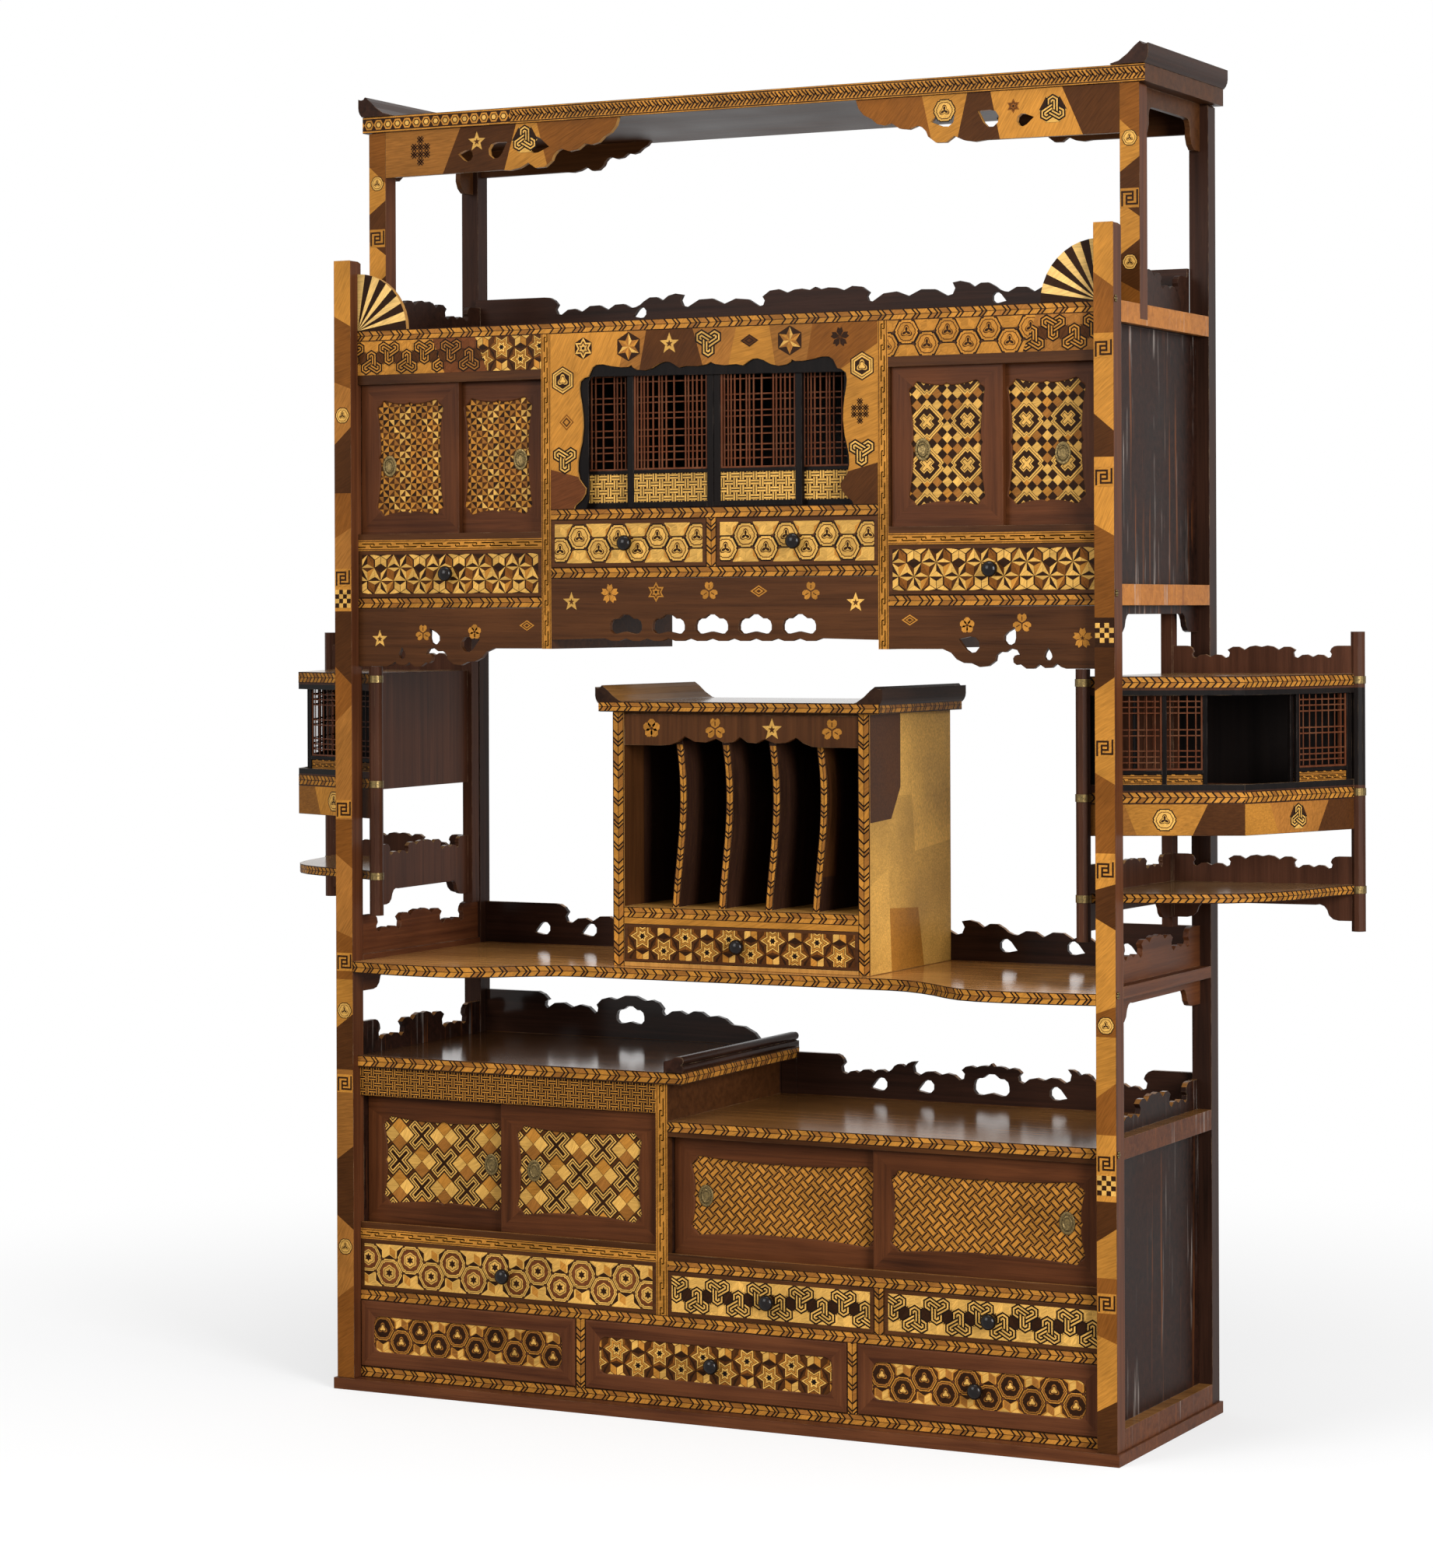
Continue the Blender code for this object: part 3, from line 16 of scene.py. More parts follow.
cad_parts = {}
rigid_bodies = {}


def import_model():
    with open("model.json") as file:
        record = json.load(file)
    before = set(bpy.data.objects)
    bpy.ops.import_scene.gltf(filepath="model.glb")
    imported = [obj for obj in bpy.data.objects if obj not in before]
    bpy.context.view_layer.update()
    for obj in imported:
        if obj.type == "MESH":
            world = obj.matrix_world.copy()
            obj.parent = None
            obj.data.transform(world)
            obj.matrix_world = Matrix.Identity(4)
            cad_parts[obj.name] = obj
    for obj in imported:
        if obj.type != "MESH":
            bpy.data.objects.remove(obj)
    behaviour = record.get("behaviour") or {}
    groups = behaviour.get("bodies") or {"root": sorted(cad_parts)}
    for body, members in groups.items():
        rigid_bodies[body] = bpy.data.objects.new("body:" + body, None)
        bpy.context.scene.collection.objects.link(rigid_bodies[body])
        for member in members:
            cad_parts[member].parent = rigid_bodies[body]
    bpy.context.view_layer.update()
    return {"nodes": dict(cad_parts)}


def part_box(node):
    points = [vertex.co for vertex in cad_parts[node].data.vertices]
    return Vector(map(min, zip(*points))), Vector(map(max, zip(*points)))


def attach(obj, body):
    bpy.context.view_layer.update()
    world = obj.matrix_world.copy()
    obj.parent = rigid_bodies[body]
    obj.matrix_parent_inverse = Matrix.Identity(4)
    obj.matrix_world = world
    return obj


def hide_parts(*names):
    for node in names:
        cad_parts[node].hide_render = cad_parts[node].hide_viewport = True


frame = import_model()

NODES = frame["nodes"]

# %% [markdown]
# ## Camera
# The photograph looks at the cabinet from the right, level, with a long lens. Its place was worked out from
# the right angles of the cases. The frame of the picture is moved down by a lens shift, as a view camera
# does, so that the posts stay upright.

# %% Camera
PICTURE = (1842, 2016)
FOCAL_PIXELS, YAW, ROLL, HORIZON = 5081.36, 0.4717, -0.0036, 786.1
CAMERA_PLACE = (2.4798, -5.0200, 1.1179)
UP = Vector((0, 0, 1))
level_right = Vector((math.cos(YAW), math.sin(YAW), 0))
ahead = Vector((-math.sin(YAW), math.cos(YAW), 0))
picture_right = level_right * math.cos(ROLL) + UP * math.sin(ROLL)
picture_up = UP * math.cos(ROLL) - level_right * math.sin(ROLL)
lens = bpy.data.cameras.new("view")
lens.lens = FOCAL_PIXELS / PICTURE[1] * lens.sensor_width
lens.shift_y = (HORIZON - PICTURE[1] / 2) / PICTURE[1]
camera = bpy.data.objects.new("view", lens)
camera.location = CAMERA_PLACE
camera.rotation_euler = Matrix((picture_right, picture_up, -ahead)).transposed().to_euler()
bpy.context.collection.objects.link(camera)
bpy.context.scene.camera = camera
bpy.context.scene.view_settings.view_transform = "Standard"
print("lens", round(lens.lens, 1), "mm, shift", round(lens.shift_y, 3))

# %% [markdown]
# ## Light and floor
# A studio lights such a cabinet with large soft lamps: one from the front left, a strong one from the right
# that makes the side faces glow, and one above that draws a sheen on the shelves. The background is white
# because the world answers camera and mirror rays with white, while it lights the wood only moderately. The
# floor fades to the same white with distance, so no horizon shows, and it keeps the shadow close to the
# plinth.

# %% Helpers for node trees
def fill(tree, node, values):
    """Sets the inputs of a node to values, or joins them to sockets."""
    for key, value in values.items():
        if isinstance(value, bpy.types.NodeSocket):
            tree.links.new(value, node.inputs[key])
        else:
            node.inputs[key].default_value = value


def add(tree, kind, values=None, **settings):
    """A new node with its settings and its inputs."""
    made = tree.nodes.new(kind)
    for key, value in settings.items():
        setattr(made, key, value)
    fill(tree, made, values or {})
    return made


def math_node(tree, kind, first, second=0.0):
    return add(tree, "ShaderNodeMath", {0: first, 1: second}, operation=kind).outputs[0]


def times(tree, product, *others):
    """The product of two or more values or sockets."""
    for other in others:
        product = math_node(tree, "MULTIPLY", product, other)
    return product


def ramp(tree, value, low, high, start=0.0, end=1.0, **settings):
    """A value stretched so that low becomes start and high becomes end; it stops at both."""
    edges = {"From Min": low, "From Max": high, "To Min": start, "To Max": end}
    return add(tree, "ShaderNodeMapRange", {"Value": value, **edges}, **settings).outputs[0]


def seen_directly(tree):
    """1 for a ray that shows the background itself: straight, mirrored or through glass."""
    path = add(tree, "ShaderNodeLightPath").outputs
    first = math_node(tree, "MAXIMUM", path["Is Camera Ray"], path["Is Glossy Ray"])
    return math_node(tree, "MAXIMUM", first, path["Is Transmission Ray"])


# %% World and lamps
ROOM_LIGHT = 0.50
world = bpy.data.worlds.new("studio")
bpy.context.scene.world = world
world.use_nodes = True
sky = world.node_tree
strength = ramp(sky, seen_directly(sky), 0.0, 1.0, ROOM_LIGHT, 1.0)
fill(sky, sky.nodes["Background"], {"Color": (1, 1, 1, 1), "Strength": strength})


def lamp(name, place, target, size, watts):
    light = bpy.data.lights.new(name, "AREA")
    light.shape = "RECTANGLE"
    light.size, light.size_y = size
    light.energy = watts
    obj = bpy.data.objects.new(name, light)
    obj.location = place
    obj.rotation_euler = (Vector(target) - Vector(place)).to_track_quat("-Z", "Y").to_euler()
    bpy.context.collection.objects.link(obj)


lamp("main", (-1.4, -3.6, 2.3), (0, 0, 0.8), (1.8, 1.8), 70)
lamp("side", (3.7, -2.5, 1.7), (0.2, 0, 0.95), (1.4, 2.2), 190)
lamp("above", (0.4, -0.6, 4.2), (0, 0, 0.8), (2.4, 1.2), 45)


# %% Floor
def as_object(bm, name):
    mesh = bpy.data.meshes.new(name)
    bm.to_mesh(mesh)
    bm.free()
    return bpy.data.objects.new(name, mesh)


FADE_START, FADE_END, NEAR_GLOW = 0.75, 2.3, 0.62
floor_bm = bmesh.new()
bmesh.ops.create_grid(floor_bm, x_segments=8, y_segments=8, size=9)
floor = as_object(floor_bm, "floor")
bpy.context.collection.objects.link(floor)
paper = bpy.data.materials.new("studio_paper")
paper.use_nodes = True
tree = paper.node_tree
tree.nodes.remove(tree.nodes["Principled BSDF"])
spot = add(tree, "ShaderNodeTexCoord").outputs["Object"]
away = add(tree, "ShaderNodeVectorMath", {0: spot}, operation="LENGTH").outputs["Value"]
fade = ramp(tree, away, FADE_START, FADE_END, NEAR_GLOW, 1.0, interpolation_type="SMOOTHSTEP")
matt = add(tree, "ShaderNodeBsdfDiffuse", {"Color": (0.86, 0.86, 0.86, 1)})
glow = add(tree, "ShaderNodeEmission", {"Color": (1, 1, 1, 1), "Strength": seen_directly(tree)})
blend = add(tree, "ShaderNodeMixShader", {0: fade, 1: matt.outputs[0], 2: glow.outputs[0]})
fill(tree, tree.nodes["Material Output"], {"Surface": blend.outputs[0]})
floor.data.materials.append(paper)
print("floor", tuple(round(v, 2) for v in floor.dimensions))

# %% [markdown]
# ## Solid woods
# Every board is wood with a wax or lacquer finish, so one recipe serves for all: long noise for the year
# rings, finer noise for the pores, a slow mottle, and a pale wear line where an edge has been rubbed. The
# grain runs along one axis of the cabinet. A bevel normal rounds each edge for the light, and its angle to
# the flat normal finds the edges that are worn.

# %% Wood recipe
ALONG = {"x": (3.0, 95.0, 95.0), "y": (95.0, 3.0, 95.0), "z": (95.0, 95.0, 3.0)}
EDGE_RADIUS = 0.0016
OUTER_WALL = 0.56
BARE_WOOD, SCUFF = (0.20, 0.062, 0.016), (0.42, 0.36, 0.32)


def blank(name):
    """A new material, its node tree and its shader."""
    made = bpy.data.materials.new(name)
    made.use_nodes = True
    return made, made.node_tree, made.node_tree.nodes["Principled BSDF"]


def mixed(tree, share, first, second):
    """Two colours blended; each is a value or a socket."""
    first, second = ((*c, 1) if isinstance(c, tuple) else c for c in (first, second))
    return add(tree, "ShaderNodeMix", {0: share, 6: first, 7: second}, data_type="RGBA").outputs[2]


def noise(tree, spot, stretch, detail=3.0, twist=0.0):
    """Noise with so many waves to the metre along each axis."""
    laid = add(tree, "ShaderNodeMapping", {"Vector": spot, "Scale": stretch})
    return add(tree, "ShaderNodeTexNoise", {"Vector": laid.outputs[0], "Scale": 1.0, "Detail": detail,
                                            "Roughness": 0.6, "Distortion": twist}).outputs[0]


def inside_box(tree, spot, box):
    """1 inside a box given as (axis, low, high) rows; axis W is the distance from the middle plane."""
    parts = add(tree, "ShaderNodeSeparateXYZ", {0: spot}).outputs
    tests = []
    for axis, low, high in box:
        value = math_node(tree, "ABSOLUTE", parts["X"]) if axis == "W" else parts[axis]
        for kind, edge in (("GREATER_THAN", low), ("LESS_THAN", high)):
            if edge is not None:
                tests.append(math_node(tree, kind, value, edge))
    return times(tree, *tests)


def bumped(tree, height, strength, distance, normal):
    values = {"Height": height, "Strength": strength, "Distance": distance, "Normal": normal}
    return add(tree, "ShaderNodeBump", values).outputs[0]


def scuffed(tree, spot, sideways, colour, strength):
    """The outer walls with bare reddish streaks, and pale scuffs over them."""
    wall = math_node(tree, "GREATER_THAN", math_node(tree, "ABSOLUTE", sideways), 0.7)
    wall = times(tree, wall, inside_box(tree, spot, (("W", OUTER_WALL, None),)))
    bare = ramp(tree, noise(tree, spot, (40, 70, 2.5), 3.0), 0.60, 0.72)
    colour = mixed(tree, times(tree, bare, wall, 0.7), colour, BARE_WOOD)
    tall = ramp(tree, noise(tree, spot, (60, 90, 4), 5.0), 0.57, 0.68)
    here = ramp(tree, noise(tree, spot, (9, 14, 5), 3.0), 0.44, 0.62)
    return mixed(tree, times(tree, tall, here, wall, strength), colour, SCUFF)


def wood(name, deep, bright, grain="x", rough=0.38, wear=(0.34, 0.22, 0.12), worn=0.5, patches=(), top=None,
         source=None, streaks=0.0, shine=0.06):
    """A finished wood; patches are (box, deep, bright) rows, top is the colour of faces that look up (on some
    boards partly painted sheen).
    """
    made, tree, shader = blank(name)
    if source:
        spot = add(tree, "ShaderNodeAttribute", attribute_name=source).outputs["Vector"]
    else:
        spot = add(tree, "ShaderNodeTexCoord").outputs["Object"]
    rings = noise(tree, spot, ALONG[grain], 4.0, 0.8)
    pores = noise(tree, spot, tuple(v * 9 for v in ALONG[grain]), 2.0)
    mottle = noise(tree, spot, (5, 5, 5), 2.0)
    mellow = math_node(tree, "ADD", times(tree, rings, 0.7), times(tree, mottle, 0.5))
    share = ramp(tree, mellow, 0.36, 0.86)
    colour = mixed(tree, share, deep, bright)
    for box, low, high in patches:
        colour = mixed(tree, inside_box(tree, spot, box), colour, mixed(tree, share, low, high))
    facing = add(tree, "ShaderNodeNewGeometry").outputs["Normal"]
    look = add(tree, "ShaderNodeSeparateXYZ", {0: facing}).outputs
    # faces that look up take the top colour; on the shelf, the lower case and the wings it is partly painted
    # light and sheen
    if top:
        lifted = math_node(tree, "GREATER_THAN", look["Z"], 0.7)
        colour = mixed(tree, lifted, colour, mixed(tree, share, *top))
    if streaks:
        colour = scuffed(tree, spot, look["X"], colour, streaks)
    dirt = times(tree, ramp(tree, pores, 0.55, 0.75), 0.35)
    colour = mixed(tree, dirt, colour, tuple(v * 0.35 for v in deep))
    soft = add(tree, "ShaderNodeBevel", {"Radius": EDGE_RADIUS}, samples=4).outputs[0]
    turn = add(tree, "ShaderNodeVectorMath", {0: soft, 1: facing}, operation="DOT_PRODUCT").outputs["Value"]
    edge = ramp(tree, math_node(tree, "SUBTRACT", 1.0, turn), 0.02, 0.22)
    rubbed = ramp(tree, noise(tree, spot, (38, 38, 38), 4.0), 0.44, 0.66)
    colour = mixed(tree, times(tree, edge, rubbed, worn), colour, wear)
    gloss = ramp(tree, mottle, 0.0, 1.0, rough * 0.75, rough * 1.35)
    if top:
        gloss = times(tree, gloss, ramp(tree, look["Z"], 0.6, 0.9, 1.0, 0.4))
    depth = 0.08 if top else 1.7 * rough * rough
    relief = bumped(tree, pores, depth, 0.0004, soft)
    fill(tree, shader, {"Base Color": colour, "Roughness": gloss, "Normal": relief,
                        "Specular IOR Level": shine})
    return made


BROWN = ((0.026, 0.009, 0.003), (0.098, 0.035, 0.011))
REDDISH = ((0.038, 0.011, 0.005), (0.150, 0.050, 0.018))
DARK = ((0.010, 0.005, 0.0035), (0.048, 0.019, 0.011))
BLACK = ((0.003, 0.0025, 0.0025), (0.010, 0.007, 0.006))
HONEY = ((0.270, 0.122, 0.028), (0.520, 0.262, 0.062))
# the tops of the lower case: their wood made lighter and more orange as painted sheen of the glossy finish
TOP_WOOD_AND_SHEEN = ((0.100, 0.040, 0.011), (0.330, 0.145, 0.040))
SCUFFED = ((0.003, 0.002, 0.0015), (0.034, 0.012, 0.007))
ORANGE = ((0.260, 0.085, 0.014), (0.560, 0.215, 0.040))
print("wood tones ready")

# %% [markdown]
# ## Finishes of the cabinet's own boards
# The boards keep the model's shapes. Where one board shows two finishes, such as a brown shelf with a black
# gallery fused to it, a box in the cabinet's own coordinates says where the second finish starts.

# %% Finishes on the model's nodes
SIDE_PANEL, SIDE_RAIL = (("W", 0.5715, 0.5905),), (("W", 0.5905, None),)
UPPER_INSIDE = (("W", None, 0.571), ("Y", -0.16, 0.19), ("Z", 1.225, 1.505))
LOWER_INSIDE = (("W", None, 0.571), ("Y", -0.16, 0.183), ("Z", 0.0, 0.395))
LOWER_GALLERY = (("Y", 0.18, None), ("Z", 0.4125, None))
LEFT_TOP_GALLERY = (("Y", 0.18, None), ("Z", 0.4805, None))
SHELF_GALLERY = (("Z", 0.6165, None),)
KIOSK_INSIDE = (("W", None, 0.1835), ("Y", -0.0895, None), ("Z", 0.7006, None))
KIOSK_WALL = (("W", 0.12, 0.1835), ("Y", -0.0895, -0.03), ("Z", 0.7006, None))
KIOSK_VALANCE = (("W", None, 0.1835), ("Y", -0.089, -0.078), ("Z", 0.925, None))
WING_CUPBOARD = (("Z", 0.880, 1.012), ("Y", -0.15, None), ("W", 0.575, None))
PALE_WEAR = (0.55, 0.40, 0.22)
finishes = {
    "plinth": wood("plinth_wood", *REDDISH, rough=0.42, worn=0.35),
    "post": wood("post_wood", *REDDISH, grain="z", worn=0.8),
    "rear_post": wood("rear_post_wood", *DARK, grain="z", worn=0.6),
    "top": wood("top_shelf_wood", *BROWN, worn=0.7),
    "scroll": wood("scroll_wood", *DARK, grain="y", rough=0.26, worn=0.8, shine=0.04),
    "honey": wood("bracket_wood", *HONEY, worn=0.4, wear=PALE_WEAR),
    "apron": wood("apron_wood", *BROWN, worn=0.35),
    "crest": wood("crest_wood", *DARK, rough=0.34, worn=0.55),
    "drawer": wood("drawer_wood", *BROWN, worn=0.3),
    "bottom_drawer": wood("bottom_drawer_wood", *REDDISH, worn=0.3),
    "side_fret": wood("side_fret_wood", *REDDISH, grain="y", worn=0.6),
    "upper": wood("upper_case_wood", *BROWN, worn=0.5, streaks=0.8, patches=(
        (SIDE_PANEL, *SCUFFED), (SIDE_RAIL, *ORANGE), (UPPER_INSIDE, *BLACK))),
    # the lower case's tops take the top colour: their wood with painted sheen
    "lower": wood("lower_case_wood", *BROWN, worn=0.5, streaks=0.6, top=TOP_WOOD_AND_SHEEN, shine=0.045, patches=(
        (SIDE_PANEL, *SCUFFED), (SIDE_RAIL, *REDDISH), (LOWER_GALLERY, *DARK), (LOWER_INSIDE, *DARK))),
    "left_top": wood("left_top_wood", (0.042, 0.018, 0.007), (0.150, 0.060, 0.018), rough=0.12, worn=0.4,
                     shine=0.2, patches=((LEFT_TOP_GALLERY, *DARK),)),
    # painted light: the shelf's top colour is made far lighter than its wood, for the light and reflections
    # its shaded top shows
    "shelf": wood("shelf_wood", *BROWN, rough=0.20, worn=0.4, shine=0.08,
                  top=((0.300, 0.125, 0.036), (0.78, 0.380, 0.110)), patches=((SHELF_GALLERY, *DARK),)),
    "kiosk": wood("kiosk_wood", *HONEY, grain="z", worn=0.4, wear=PALE_WEAR, patches=(
        (KIOSK_INSIDE, *DARK), (KIOSK_WALL, *BROWN), (KIOSK_VALANCE, *BROWN))),
    "kiosk_top": wood("kiosk_top_wood", (0.016, 0.009, 0.007), (0.050, 0.024, 0.014), grain="y", rough=0.24,
                      shine=0.015, worn=0.7, top=((0.16, 0.070, 0.020), (0.42, 0.20, 0.06))),
    # the wing's top colour is lighter and greyer than its wood: partly painted reflection of the glossy top
    "wing": wood("wing_wood", (0.024, 0.009, 0.005), (0.088, 0.033, 0.017), grain="z", worn=0.6,
                 top=((0.140, 0.068, 0.026), (0.340, 0.190, 0.080)), patches=((WING_CUPBOARD, *BLACK),)),
    "panel": wood("panel_wood", *BLACK, grain="z", rough=0.30, worn=0.5, wear=(0.16, 0.12, 0.10), shine=0.03),
}
by_start = (
    ("base_plinth", "plinth"), ("front_post", "post"), ("upper_post", "post"), ("rear_post", "rear_post"),
    ("top_shelf", "top"), ("top_scroll", "scroll"), ("top_bracket", "honey"), ("fan", "honey"),
    ("window_frame", "honey"), ("upper_apron", "apron"), ("upper_crest", "crest"), ("upper_case", "upper"),
    ("lower_case", "lower"), ("lower_left_top", "left_top"), ("middle_shelf", "shelf"),
    ("middle_side", "side_fret"), ("kiosk_case", "kiosk"), ("kiosk_top", "kiosk_top"),
    ("wing_left_panel", "panel"), ("wing_right_panel", "panel"), ("wing", "wing"), ("screen", "panel"),
    ("bottom_drawer", "bottom_drawer"))
for name, node in NODES.items():
    label = next((finish for start, finish in by_start if name.startswith(start)), "drawer")
    node.data.materials.clear()
    node.data.materials.append(finishes[label])
print("finished nodes", len(NODES))

# %% [markdown]
# ## Veneer chips
# The fronts are marquetry: chips of differently coloured wood, sawn to one outline over and over, glued side
# by side and scraped flat. Here a chip is a flat polygon in millimetres with a wood and a layer; a chip with
# a line round it is two polygons, the smaller one a layer higher. A Geometry Nodes tree repeats one cell of
# chips over a grid, gives each chip a shade of its own and extrudes it to the thickness of a veneer.

# %% Chips
WOODS = {"cream": (0.80, 0.50, 0.16), "pale": (0.66, 0.365, 0.084), "honey": (0.45, 0.190, 0.030),
         "tan": (0.30, 0.118, 0.023), "amber": (0.20, 0.068, 0.011), "brown": (0.068, 0.023, 0.006),
         "umber": (0.026, 0.010, 0.004), "ink": (0.009, 0.005, 0.0035), "red": (0.140, 0.043, 0.013)}
# a millimetre, the step from one layer to the next and the thickness of a chip, in metres
MM, LIFT, CHIP = 0.001, 0.00007, 0.00016
FRONT, RIGHT, LEFT = Vector((1, 0, 0)), Vector((0, 1, 0)), Vector((0, -1, 0))


def ngon(radius, sides, turn=0.0, centre=(0, 0)):
    angles = [math.radians(turn) + math.tau * i / sides for i in range(sides)]
    return [(centre[0] + radius * math.cos(a), centre[1] + radius * math.sin(a)) for a in angles]


def rect(u0, u1, v0, v1):
    return [(u0, v0), (u1, v0), (u1, v1), (u0, v1)]


def star(radius, points, waist, turn=90.0):
    tips, dips = ngon(radius, points, turn), ngon(radius * waist, points, turn + 180 / points)
    return [corner for pair in zip(tips, dips) for corner in pair]


def moved(chips, du, dv, turn=0.0, size=1.0, layer=0):
    c, s = math.cos(math.radians(turn)) * size, math.sin(math.radians(turn)) * size
    return [([(du + c * u - s * v, dv + s * u + c * v) for u, v in points], tone, level + layer)
            for points, tone, level in chips]


def over(chips, layer):
    return moved(chips, 0, 0, layer=layer)


def nested(outline, *steps):
    """One outline inside another: (share, wood) rows from the largest to the smallest."""
    return [([(u * share, v * share) for u, v in outline], tone, level)
            for level, (share, tone) in enumerate(steps)]


def leftward(points):
    """The points of a polygon in anticlockwise order."""
    turn = sum(a[0] * b[1] - a[1] * b[0] for a, b in zip(points, points[1:] + points[:1]))
    return points if turn > 0 else points[::-1]


def flat(chips):
    """Chips as flat faces in metres, each lifted by its layer."""
    bm = bmesh.new()
    tones = bm.faces.layers.float_color.new("wood")
    for points, tone, level in chips:
        face = bm.faces.new([bm.verts.new((u * MM, v * MM, level * LIFT)) for u, v in leftward(points)])
        face[tones] = (*WOODS[tone], 1)
    return bm


# %% [markdown]
# The material of all veneers reads two attributes of a face: the wood's colour and a random shade. The shade
# also turns the direction of the grain, as a maker turns chips of one board to catch the light differently.

# %% Veneer material
def veneer_material():
    made, tree, shader = blank("veneer")
    spot = add(tree, "ShaderNodeTexCoord").outputs["Object"]
    tone = add(tree, "ShaderNodeAttribute", attribute_name="wood").outputs["Color"]
    shade = add(tree, "ShaderNodeAttribute", attribute_name="shade").outputs["Fac"]
    swung = add(tree, "ShaderNodeVectorRotate", {"Vector": spot, "Angle": times(tree, shade, 1.2)},
                rotation_type="Y_AXIS").outputs[0]
    grain = noise(tree, swung, (40, 300, 520), 3.0, 0.5)
    cloud = noise(tree, spot, (9, 9, 9), 3.0)
    light = ramp(tree, shade, 0.0, 1.0, 0.82, 1.14)
    streak = ramp(tree, grain, 0.3, 0.7, 0.72, 1.18)
    aged = ramp(tree, cloud, 0.3, 0.7, 0.78, 1.12)
    level = times(tree, light, streak, aged)
    colour = add(tree, "ShaderNodeVectorMath", {0: tone, "Scale": level}, operation="SCALE").outputs[0]
    soft = add(tree, "ShaderNodeBevel", {"Radius": 0.0003}, samples=2).outputs[0]
    fill(tree, shader, {"Base Color": colour, "Roughness": ramp(tree, cloud, 0.0, 1.0, 0.30, 0.52),
                        "Normal": bumped(tree, grain, 0.15, 0.0002, soft), "Specular IOR Level": 0.04})
    return made


VENEER = veneer_material()
print("veneer woods", ", ".join(WOODS))

# %% [markdown]
# The tree takes the cell as an object, so one tree serves for every pattern. Its last nodes are Realize
# Instances and Set Material; the result is taken as a plain mesh and the modifier goes away with its holder.

# %% Field tree
def geometry_tree(name, sockets):
    tree = bpy.data.node_groups.new(name, "GeometryNodeTree")
    for label, kind in sockets:
        tree.interface.new_socket(label, in_out="INPUT", socket_type="NodeSocket" + kind)
    tree.interface.new_socket("Geometry", in_out="OUTPUT", socket_type="NodeSocketGeometry")
    return tree, add(tree, "NodeGroupInput").outputs


def close_tree(tree, geometry, material):
    real = add(tree, "GeometryNodeRealizeInstances", {0: geometry}).outputs[0]
    coloured = add(tree, "GeometryNodeSetMaterial", {"Geometry": real, "Material": material}).outputs[0]
    add(tree, "NodeGroupOutput", {0: coloured})
    return tree


def copies_of(tree, tile, points):
    """A given object on every point."""
    shape = add(tree, "GeometryNodeObjectInfo", {"Object": tile}).outputs["Geometry"]
    return add(tree, "GeometryNodeInstanceOnPoints", {"Points": points, "Instance": shape}).outputs[0]


def shaded(tree, geometry, seed, domain):
    """A random number for every face or copy, kept as the attribute shade."""
    chance = add(tree, "FunctionNodeRandomValue", {"Seed": seed}, data_type="FLOAT").outputs[1]
    values = {"Geometry": geometry, "Name": "shade", "Value": chance}
    return add(tree, "GeometryNodeStoreNamedAttribute", values, data_type="FLOAT", domain=domain).outputs[0]


def field_tree():
    tree, given = geometry_tree("chip field", (
        ("Tile", "Object"), ("Columns", "Int"), ("Rows", "Int"), ("Pitch U", "Float"), ("Pitch V", "Float"),
        ("Thickness", "Float"), ("Seed", "Int"), ("Material", "Material")))
    spans = []
    for count, pitch in (("Columns", "Pitch U"), ("Rows", "Pitch V")):
        spans.append(times(tree, math_node(tree, "SUBTRACT", given[count], 1.0), given[pitch]))
    grid = add(tree, "GeometryNodeMeshGrid", {"Size X": spans[0], "Size Y": spans[1],
                                              "Vertices X": given["Columns"], "Vertices Y": given["Rows"]})
    copies = copies_of(tree, given["Tile"], grid.outputs[0])
    chips = add(tree, "GeometryNodeRealizeInstances", {0: copies}).outputs[0]
    chips = shaded(tree, chips, given["Seed"], "FACE")
    thick = add(tree, "GeometryNodeExtrudeMesh", {"Mesh": chips, "Offset Scale": given["Thickness"],
                                                  "Individual": True}, mode="FACES")
    return close_tree(tree, thick.outputs[0], given["Material"])


def grown(tree, values, base=None):
    """The mesh a tree makes with these inputs, as a bmesh."""
    holder = bpy.data.objects.new("holder", base or bpy.data.meshes.new("holder"))
    bpy.context.collection.objects.link(holder)
    modifier = holder.modifiers.new("grown", "NODES")
    modifier.node_group = tree
    for item in tree.interface.items_tree:
        if item.in_out == "INPUT" and item.name in values:
            modifier[item.identifier] = values[item.name]
    mesh = bpy.data.meshes.new_from_object(holder.evaluated_get(bpy.context.evaluated_depsgraph_get()))
    bpy.data.objects.remove(holder)
    bm = bmesh.new()
    bm.from_mesh(mesh)
    bpy.data.meshes.remove(mesh)
    return bm


FIELD = field_tree()
print("field tree with", len(FIELD.nodes), "nodes")


# %% Laying veneers
def repeated(chips, columns, rows, pitch, seed):
    """Copies of a cell of chips in a grid round the origin, in metres."""
    tile = as_object(flat(chips), "cell")
    bm = grown(FIELD, {"Tile": tile, "Columns": columns, "Rows": rows, "Pitch U": pitch[0] * MM,
                       "Pitch V": (pitch[1] or 1.0) * MM, "Thickness": CHIP, "Seed": seed,
                       "Material": VENEER})
    bpy.data.objects.remove(tile)
    return bm


def cut(bm, point, normal, clear=False):
    bmesh.ops.bisect_plane(bm, geom=bm.verts[:] + bm.edges[:] + bm.faces[:], plane_co=point, plane_no=normal,
                           dist=1e-7, clear_outer=clear)


